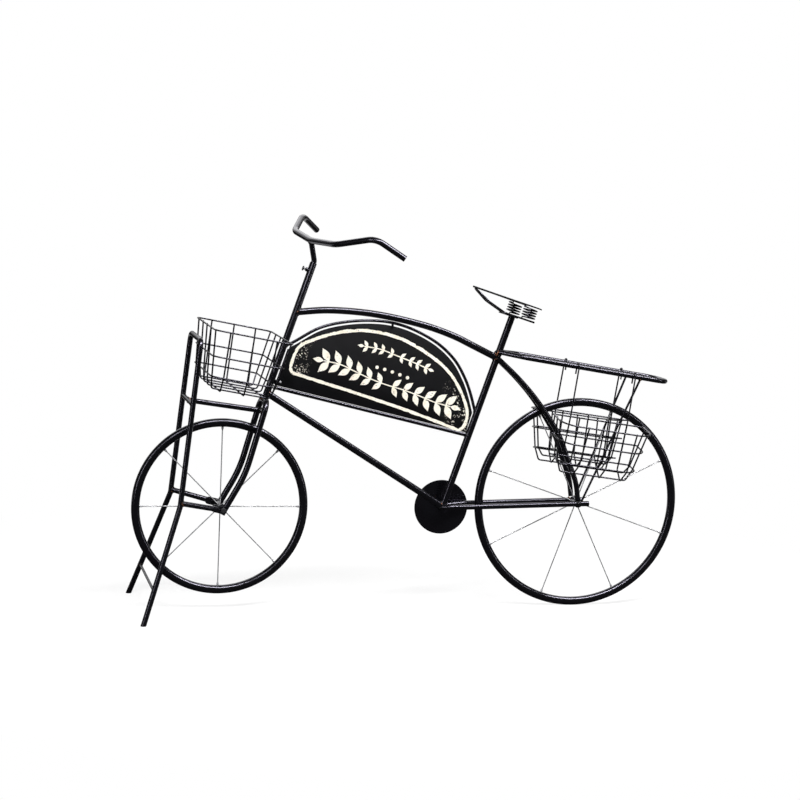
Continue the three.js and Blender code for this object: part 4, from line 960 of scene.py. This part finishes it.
# The border's line, as shares of the sign's length and height from the front end of its base rod
BORDER_SHARES = [(0.086, 0.13), (0.126, 0.108), (0.229, 0.055), (0.333, 0.004), (0.437, -0.05),
                 (0.542, -0.105), (0.648, -0.162), (0.754, -0.224), (0.861, -0.288), (0.925, -0.328),
                 (0.965, -0.345), (0.989, -0.306), (1.0, -0.244), (0.999, -0.174), (0.985, -0.096),
                 (0.963, -0.014), (0.935, 0.068), (0.902, 0.141), (0.856, 0.218), (0.8, 0.287),
                 (0.744, 0.347), (0.687, 0.398), (0.633, 0.437), (0.58, 0.465), (0.528, 0.484),
                 (0.476, 0.495), (0.424, 0.498), (0.373, 0.493), (0.322, 0.48), (0.271, 0.46),
                 (0.221, 0.433), (0.171, 0.401), (0.133, 0.372), (0.111, 0.338), (0.096, 0.29),
                 (0.084, 0.226), (0.077, 0.17)]
# The ornament's lines, in the same shares: a long sprig, a row of berries over it and a short sprig on top
LONG_SPRIG = [(0.245, 0.235), (0.33, 0.205), (0.41, 0.145), (0.49, 0.085), (0.574, 0.035), (0.66, -0.005),
              (0.745, -0.055), (0.83, -0.11), (0.91, -0.145)]
SHORT_SPRIG = [(0.45, 0.365), (0.535, 0.34), (0.62, 0.288), (0.705, 0.235), (0.785, 0.18)]
BERRIES = [(0.52, 0.185), (0.56, 0.168), (0.6, 0.147), (0.64, 0.124), (0.68, 0.1)]


def sign_place(along_share, up_share, side=-1):
    start = behind_head(BASE_FRONT)
    return vec(start.x + SIGN_LONG * along_share, side * PLATE_THICK / 2, start.z + SIGN_TALL * up_share)


def closed_smooth(corners, steps_each):
    count = len(corners)
    run = [corners[(i - 2) % count] for i in range(count + 5)]
    whole = smooth(run, (count + 4) * steps_each)
    return whole[2 * steps_each:(count + 2) * steps_each]


def worn(loop, distance):
    """One edge of the border, a distance from its middle line, nibbled as hand-rubbed paint is."""
    edge = []
    for i, point in enumerate(loop):
        along = (loop[(i + 1) % len(loop)] - loop[i - 1]).normalized()
        rough = noise.noise(point * 0.09 + vec(distance, 0, 7)) * 0.9 + noise.noise(point * 0.35) * 0.7
        bite = max(0, noise.noise(point * 0.05 + vec(0, distance * 3, 0)) - 0.28) * 9
        reach = abs(distance) + rough * 1.1 - bite * (0.5 + noise.noise(point * 0.6))
        edge.append(point + vec(-along.z, 0, along.x) * math.copysign(max(reach, 0.8), distance))
    return edge


def raise_paint(shape, side):
    thicken(shape, shape.faces[:], (0, side * PAINT_THICK * MM, 0))
    return made(shape)


def border_mesh(side):
    """The painted border: two worn edges, bridged and given the paint's thickness."""
    middle = closed_smooth([sign_place(*shares, side) for shares in BORDER_SHARES], 12)
    shape = bmesh.new()
    for distance in (-BORDER_WIDE / 2, BORDER_WIDE / 2):
        verts = [shape.verts.new(placed(p)) for p in worn(middle, distance)]
        for i, vert in enumerate(verts):
            shape.edges.new((verts[i - 1], vert))
    bmesh.ops.bridge_loops(shape, edges=shape.edges[:])
    return raise_paint(shape, side)


def leaf(shape, root, direction, length, side):
    """One flat leaf, pointed at both ends, laid on the sign."""
    across = vec(-direction.z, 0, direction.x) * (length * 0.4)
    for vert in bmesh.ops.create_circle(shape, cap_ends=True, segments=20, radius=0.5)["verts"]:
        share = vert.co.x + 0.5
        half = vert.co.y * math.sin(math.pi * share) ** 0.8 * (1.15 - 0.45 * share) * 1.24
        place = root + direction * (length * share) + across * half
        vert.co = placed(vec(place.x, side * PLATE_THICK / 2, place.z))


def sprig(shape, stem, pairs, mid_size, end_size, side):
    """Pairs of leaves that lean away from the middle of their stem, and a leaf at each tip."""
    last = len(stem) - 1
    for pair in range(pairs):
        share = (pair + 0.5) / pairs
        i = round(share * last)
        along = (stem[min(i + 1, last)] - stem[max(i - 1, 0)]).normalized()
        size = mid_size + (end_size - mid_size) * abs(2 * share - 1)
        for lean in (-52, 52):
            turn = Matrix.Rotation(math.radians(lean), 3, "Y")
            leaf(shape, stem[i], turn @ (along if share > 0.5 else -along), size, side)
    for tip, before in ((stem[0], stem[3]), (stem[-1], stem[-4])):
        leaf(shape, tip, (tip - before).normalized(), mid_size, side)


def ornament_mesh(side):
    """Leaves, stems and berries, painted on as the border is."""
    shape = bmesh.new()
    stems = []
    for corners, *leaves in ((LONG_SPRIG, 12, 30, 42), (SHORT_SPRIG, 8, 18, 20)):
        stem = smooth([sign_place(*shares, side) for shares in corners], 72)
        sprig(shape, stem, *leaves, side)
        stems.append(stem)
    lines = tubes(stems, STEM_LINE, 10)
    flat = (ORIGIN.y + side * PLATE_THICK / 2) * MM
    for vert in lines.vertices:
        vert.co.y = flat + (vert.co.y - flat) * 0.25
    berry = [(0, 0), (BERRY, 0), (BERRY - 0.4, 0.4), (0, 0.6)]
    berries = [turned(berry, sign_place(*shares, side), vec(0, side, 0), 20) for shares in BERRIES]
    return joined(raise_paint(shape, side), lines, *berries)


def build_plate():
    shape = bmesh.new()
    verts = [shape.verts.new(placed(p - ACROSS * (PLATE_THICK / 2))) for p in plate_outline()]
    thicken(shape, [shape.faces.new(verts)], (0, PLATE_THICK * MM, 0))
    ease_edges(shape, sharp_edges(shape, 1.2), 0.4)
    ends = [placed(sign_place(share, 0)).x for share in (0.084, 0.992)]
    lines = [[placed(sign_place(*BORDER_SHARES[i])) for i in pair] for pair in ((1, 8), (18, 13))]
    skin("sign_plate", made(shape), "frame", sign_black_finish(*ends, *lines))
    for label, side in (("near", -1), ("far", 1)):
        piece(f"sign_border_{label}", border_mesh(side), "frame", [], cream)
        piece(f"sign_ornament_{label}", ornament_mesh(side), "frame", [], cream)


def build_sign():
    arch = arch_path()
    skin("sign_arch", tube(arch, ARCH_ROD, 18))
    upright = [behind_head(CROWN_HEIGHT + MAIN_TUBE / 2), behind_head(ARCH_FRONT)]
    base_start, base_end = behind_head(BASE_FRONT), on_seat(BASE_REAR)
    screw_place = base_start + vec(SIGN_SCREW_IN, 0, SIGN_SCREW_UP)
    lug_out = PLATE_THICK / 2 + CLEARANCE + LUG_SIZE[1] / 2
    lug = block(vec(*LUG_SIZE), screw_place + vec(-LUG_BEHIND, lug_out, 0))
    skin("sign_upright", joined(tube(upright, UPRIGHT_ROD, ROD_SIDES), lug))
    skin("sign_base_rod", tube([base_start, base_end], BASE_ROD, 18), name="sign_base_skin")
    bead(arch[0], arch[4], 1, ARCH_ROD, *HEAD_WALL)
    bead(arch[-1], arch[-8], 1, ARCH_ROD, *SEAT_WALL)
    bead(base_end, base_start, 0.1, BASE_ROD, *SEAT_WALL)
    bead(base_start, base_end, 0.06, BASE_ROD, upright[0], HEAD_DIR, UPRIGHT_ROD)
    build_plate()
    screw_profile = [(0, 1.5), (1.5, 1.5), (1.5, -1.8), (3.5, -1.8), (3.3, -2.8), (2.2, -3.7), (0, -3.9)]
    skin("sign_screw", turned(screw_profile, screw_place, ACROSS, 28), "frame", bright)
    top = at_share(arch, CLIP_SHARE)
    near = ARCH_ROD / 2 + CLIP_THICK / 2 + CLEARANCE
    strap = block(vec(CLIP_WIDTH, CLIP_THICK, CLIP_LENGTH),
                  vec(top.x, -near, top.z - CLIP_LENGTH / 2 + ARCH_ROD / 2))
    toe = block(vec(CLIP_WIDTH, near - PLATE_THICK / 2, CLIP_WIDTH / 2),
                vec(top.x, -near / 2 - PLATE_THICK / 4, top.z - CLIP_LENGTH + ARCH_ROD / 2 + CLIP_WIDTH / 4))
    skin("sign_clip", joined(strap, toe))


# Baskets: welded wires, the upright wires inside the level ones

WIRE_IN = WIRE - WIRE_LAP
WIRE_TOP = WIRE / 2 - WIRE_LAP / 2


class Basket:
    """A basket's own slanted directions: points go out through its matrix, and come in through inside."""

    def __init__(self, place, *turns):
        self.matrix = Matrix.Translation(place)
        for degrees, axis in turns:
            self.matrix = self.matrix @ Matrix.Rotation(math.radians(degrees), 4, axis)
        self.inverse = self.matrix.inverted()
        self.wires = []
        self.rings = []

    def inside(self, point):
        return self.inverse @ point

    def wire(self, corners, radius=WIRE_BEND, steps=6):
        self.wires.append([self.matrix @ p for p in bent(corners, radius, steps)])

    def ring(self, corners, radius):
        self.rings.append([self.matrix @ p for p in bent(corners, radius, 8)[:-1]])

    def dress(self, name, body):
        mesh = tubes(self.wires, WIRE, 12)
        if self.rings:
            mesh = joined(mesh, tubes(self.rings, WIRE, 12, closed=True))
        skin(name, mesh, body)


FRONT_RING_SHARES = [0, 0.431, 0.767]
FRONT_CROSS_SHARES = [0.2, 0.5, 0.79]
FRONT_LENGTH_SHARES = [-0.914, -0.43, 0, 0.43, 0.914]


def front_ring_at(basket, share):
    """A ring's level, its front and rear edges and its half width; its rear touches the head tube."""
    z = -FRONT_DROP * share
    taper = share / FRONT_RING_SHARES[-1]
    low, high = basket.inside(CROWN), basket.inside(HEAD_TOP)
    head = low.lerp(high, (z - low.z) / (high.z - low.z))
    reach = (MAIN_TUBE + WIRE) / 2 / math.cos(math.radians(HEAD_LEAN - FRONT_SLOPE))
    return z, FRONT_TAPER * taper, head.x - reach, FRONT_HALF - SIDE_TAPER * taper


def front_ring(basket, share):
    """A closed ring, and the small weld bead where its back touches the head tube."""
    z, front, rear, half = front_ring_at(basket, share)
    corners = [(front, 0), (front, -half), (rear, -half), (rear, half), (front, half), (front, 0)]
    basket.ring([vec(x, y, z) for x, y in corners], FRONT_RING_BEND)
    out, wide, tall = RING_BEAD
    turns = [2 * math.pi * i / RING_BEAD_STEPS for i in range(RING_BEAD_STEPS)]
    beads.append([basket.matrix @ vec(rear + out, wide * math.cos(t), z + tall * math.sin(t))
                  for t in turns])


def build_front_basket():
    basket = Basket(vec(FRONT_X - FRONT_FORWARD, 0, FRONT_RIM_HEIGHT), (FRONT_SLOPE, "Y"))
    for share in FRONT_RING_SHARES:
        front_ring(basket, share)
    _, _, rim_rear, _ = front_ring_at(basket, 0)
    low_z, low_front, low_rear, low_half = front_ring_at(basket, FRONT_RING_SHARES[-1])
    for share in FRONT_CROSS_SHARES:
        x = rim_rear * share
        basket.wire(on_both_sides([vec(x, WIRE_IN - FRONT_HALF, WIRE_TOP),
                                   vec(x + CROSS_SETBACK, WIRE_IN - low_half, low_z),
                                   vec(x + CROSS_SETBACK, FLOOR_SIDE - FRONT_HALF, -FRONT_DROP)]))
    for share in FRONT_LENGTH_SHARES:
        floor_y, floor_z = (FRONT_HALF - FLOOR_SIDE) * share, WIRE_IN - FRONT_DROP
        basket.wire([vec(WIRE_IN, FRONT_HALF * share, WIRE_TOP),
                     vec(low_front + WIRE_IN, low_half * share, low_z), vec(FLOOR_FRONT, floor_y, floor_z),
                     vec(low_rear - WIRE_IN - FLOOR_REAR, floor_y, floor_z),
                     vec(low_rear - WIRE_IN, low_half * share, low_z),
                     vec(rim_rear - WIRE_IN, FRONT_HALF * share, WIRE_TOP)])
    basket.dress("front_basket", "frame")


PANNIER_RING_SHARES = [0, 0.48, 1]
PANNIER_CROSS_SHARES = [0.285, 0.575, 0.81]
PANNIER_LENGTH_SHARES = [0.24, 0.56]
LOW_DEPTH = PANNIER_DEPTH - PANNIER_OUTER_TAPER


def pannier_ring(basket, side, share):
    z = -PANNIER_DROP * share
    start, end = PANNIER_END_TAPER * share, PANNIER_LENGTH - PANNIER_END_TAPER * share
    back, deep = side * PANNIER_BACK_TAPER * share, PANNIER_DEPTH - PANNIER_OUTER_TAPER * share
    corners = [(start, back), (start, side * deep), (end, side * deep), (end, back)]
    basket.wire([vec(x, y, z) for x, y in corners], deep * PANNIER_CORNER_SHARE, 14)
    basket.wire([vec(start - WIRE, back, z), vec(end + WIRE, back, z)])


def pannier_cross_wire(basket, side, share):
    corners = [(WIRE_IN, WIRE_TOP), (PANNIER_BACK_TAPER + WIRE_IN, -PANNIER_FLOOR_BACK),
               (PANNIER_DEPTH / 2, -PANNIER_FLOOR), (LOW_DEPTH - WIRE_IN, -PANNIER_DROP),
               (PANNIER_DEPTH - WIRE_IN, WIRE_TOP)]
    basket.wire([vec(PANNIER_LENGTH * share, side * y, z) for y, z in corners])


def pannier_length_wire(basket, side, share):
    across = (LOW_DEPTH * share - PANNIER_BACK_TAPER) / (PANNIER_DEPTH / 2 - PANNIER_BACK_TAPER)
    floor_z = WIRE_IN - (PANNIER_FLOOR_BACK + (PANNIER_FLOOR - PANNIER_FLOOR_BACK) * across)
    half = [vec(WIRE_IN, side * PANNIER_DEPTH * share, WIRE_TOP),
            vec(PANNIER_END_TAPER + WIRE_IN, side * LOW_DEPTH * share, -PANNIER_DROP),
            vec(PANNIER_END_TAPER + WIRE_IN + PANNIER_FLOOR_END, side * LOW_DEPTH * share, floor_z)]
    basket.wire(half + [vec(PANNIER_LENGTH - p.x, p.y, p.z) for p in half][::-1])


def hanger(basket, side, along):
    """Up the back of the basket, in its slanted plane, and over the side of the rack."""
    foot = vec(along, side * (PANNIER_BACK_TAPER - WIRE_IN), -PANNIER_DROP)
    at_rim = vec(along, -side * WIRE_IN, 0)
    rim_place = basket.matrix @ at_rim
    fall = math.tan(math.radians(RACK_SLOPE))
    upward = leaning(PANNIER_SLOPE)
    rack_z = RACK_HEIGHT - fall * (rim_place.x - on_seat(RACK_HEIGHT).x)
    climb = (rack_z - rim_place.z) / (upward.z + fall * upward.x)
    reach = HOOK_GAP + (RACK_TUBE * RACK_SLANT + WIRE * WIRE_SLANT) / 2

    def beside(way, rise):
        spot = rim_place + upward * (climb + rise)
        return basket.inside(vec(spot.x, side * (RACK_HALF + way * reach), spot.z))

    basket.wire([foot, at_rim, beside(1, reach), beside(-1, reach), beside(-1, -HOOK_TIP)],
                [WIRE_BEND, reach, reach], 10)


def build_pannier(label, side):
    basket = Basket(vec(-PANNIER_FORWARD, side * PANNIER_OUT, PANNIER_RIM), (PANNIER_SLOPE, "Y"),
                    (-side * PANNIER_TILT, "X"))
    for make, shares in ((pannier_ring, PANNIER_RING_SHARES), (pannier_cross_wire, PANNIER_CROSS_SHARES),
                         (pannier_length_wire, PANNIER_LENGTH_SHARES)):
        for share in shares:
            make(basket, side, share)
    hanger(basket, side, HANGER_FRONT)
    hanger(basket, side, HANGER_FRONT + HANGER_SPACING)
    basket.dress(f"rear_basket_{label}", f"rear_basket_{label}")


# The whole object

def build_object():
    build_frame()
    build_axles()
    front_hub = 2 * (FORK_SPREAD - FORK_TUBE / 2 - HUB_END_GAP)
    rear_hub = 2 * (STAY_SPREAD - STAY_TUBE / 2 - HUB_END_GAP)
    build_wheel("front", FRONT_WHEEL, vec(FRONT_X, 0, FRONT_Z), front_hub, FRONT_SPOKE_TURN)
    build_wheel("rear", REAR_WHEEL, vec(0, 0, REAR_Z), rear_hub, REAR_SPOKE_TURN)
    build_steering()
    build_thumb_screw()
    build_stand()
    build_saddle()
    build_sign()
    build_front_basket()
    for label, side in SIDES:
        build_pannier(label, side)
    piece("frame_welds", tubes(beads, WELD_BEAD, 10, closed=True), "frame", [], weld)


# Camera, floor and light; the camera's places are in millimetres, the floor's and lamps' in metres

CAMERA_TARGET, CAMERA_DISTANCE = vec(-495, 0, 550), 5453
CAMERA_AZIMUTH, CAMERA_ELEVATION, CAMERA_ROLL = 13.1898, 7.0624, 2.3977
FOCAL_PIXELS, IMAGE_PIXELS, SENSOR = 2089.2, 800, 36
FLOOR_GLOW, FLOOR_HALF, SKY_LIGHT = 0.84, 30, 0.03
MIDDLE = (0, 0, 0.5)
# Each lamp's place and target, its width and height, and its watts
LAMPS = {"key": ((-2.4, -3.4, 3.4), MIDDLE, (0.8, 0.8), 30),
         "top": ((0.9, -1.9, 3.9), (0.2, 0, 0.5), (4.6, 0.45), 380),
         "left": ((-3.4, -2.2, 1.4), MIDDLE, (0.2, 2.4), 25),
         "right": ((3.4, -1.8, 1.6), MIDDLE, (0.2, 2.4), 20),
         "behind": ((0.4, 4.2, 4.2), MIDDLE, (6, 3.4), 95)}


def add_camera():
    az, el, roll = (math.radians(a) for a in (CAMERA_AZIMUTH, CAMERA_ELEVATION, CAMERA_ROLL))
    ahead = vec(math.sin(az) * math.cos(el), math.cos(az) * math.cos(el), -math.sin(el))
    right = vec(math.cos(az), -math.sin(az), 0)
    up = right.cross(ahead)
    tilted_right = right * math.cos(roll) + up * math.sin(roll)
    tilted_up = up * math.cos(roll) - right * math.sin(roll)
    data = bpy.data.cameras.new("camera")
    data.sensor_fit = "HORIZONTAL"
    data.sensor_width = SENSOR
    data.lens = FOCAL_PIXELS / IMAGE_PIXELS * SENSOR
    camera = add_object("camera", data)
    axes = Matrix((tilted_right, tilted_up, -ahead)).transposed().to_4x4()
    camera.matrix_world = Matrix.Translation(placed(CAMERA_TARGET - ahead * CAMERA_DISTANCE)) @ axes
    bpy.context.scene.camera = camera


def floor_finish():
    """White where it is seen, with a soft shadow near the object; dim as a light on the object."""
    finish = Finish("floor white")
    back = finish.part(finish.place, "Y")
    seen = finish.seen_as_background(back.between(0.8, 1.4) * (1 - back.between(2, 3)))
    finish.set(colour=finish.blend(seen, grey(0.03), grey(0.93)), rough=0.9, shine=0.1)
    length = finish.node("ShaderNodeVectorMath", {"operation": "LENGTH"}, {0: finish.place})
    away = Value(finish, length.outputs[1])
    glow = finish.node("ShaderNodeEmission", None, {"Color": grey(1), "Strength": 1})
    share = seen * (FLOOR_GLOW + away.between(0.9, 1.6) * (1 - FLOOR_GLOW))
    mix = finish.node("ShaderNodeMixShader", None,
                      {0: share, 1: finish.shader.outputs[0], 2: glow.outputs[0]})
    finish.feed(finish.tree.nodes["Material Output"].inputs["Surface"], mix.outputs[0])
    return finish.material


def add_floor():
    shape = bmesh.new()
    bmesh.ops.create_grid(shape, x_segments=1, y_segments=1, size=FLOOR_HALF)
    mesh = mesh_of(shape)
    mesh.materials.append(floor_finish())
    floor = add_object("floor", mesh)


def add_lamp(name, place, target, size, power):
    data = bpy.data.lights.new(name, "AREA")
    data.shape = "RECTANGLE"
    data.size, data.size_y = size
    data.energy = power
    aim = (Vector(target) - Vector(place)).to_track_quat("-Z", "Y")
    add_object(name, data).matrix_world = Matrix.Translation(place) @ aim.to_matrix().to_4x4()


def add_light():
    world = bpy.data.worlds.new("studio")
    bpy.context.scene.world = world
    sky = Finish("studio", world)
    background = sky.tree.nodes["Background"]
    background.inputs["Color"].default_value = grey(1)
    direction = sky.node("ShaderNodeTexCoord").outputs["Generated"]
    ahead, up = sky.part(direction, "Y"), sky.part(direction, "Z")
    seen = sky.seen_as_background(ahead.between(0.55, 0.9) * up.between(0, 0.3))
    sky.feed(background.inputs["Strength"], seen * (1 - SKY_LIGHT) + SKY_LIGHT)
    for name, settings in LAMPS.items():
        add_lamp(name, *settings)


build_object()
add_camera()
add_floor()
add_light()
bpy.context.scene.view_settings.view_transform = "Standard"
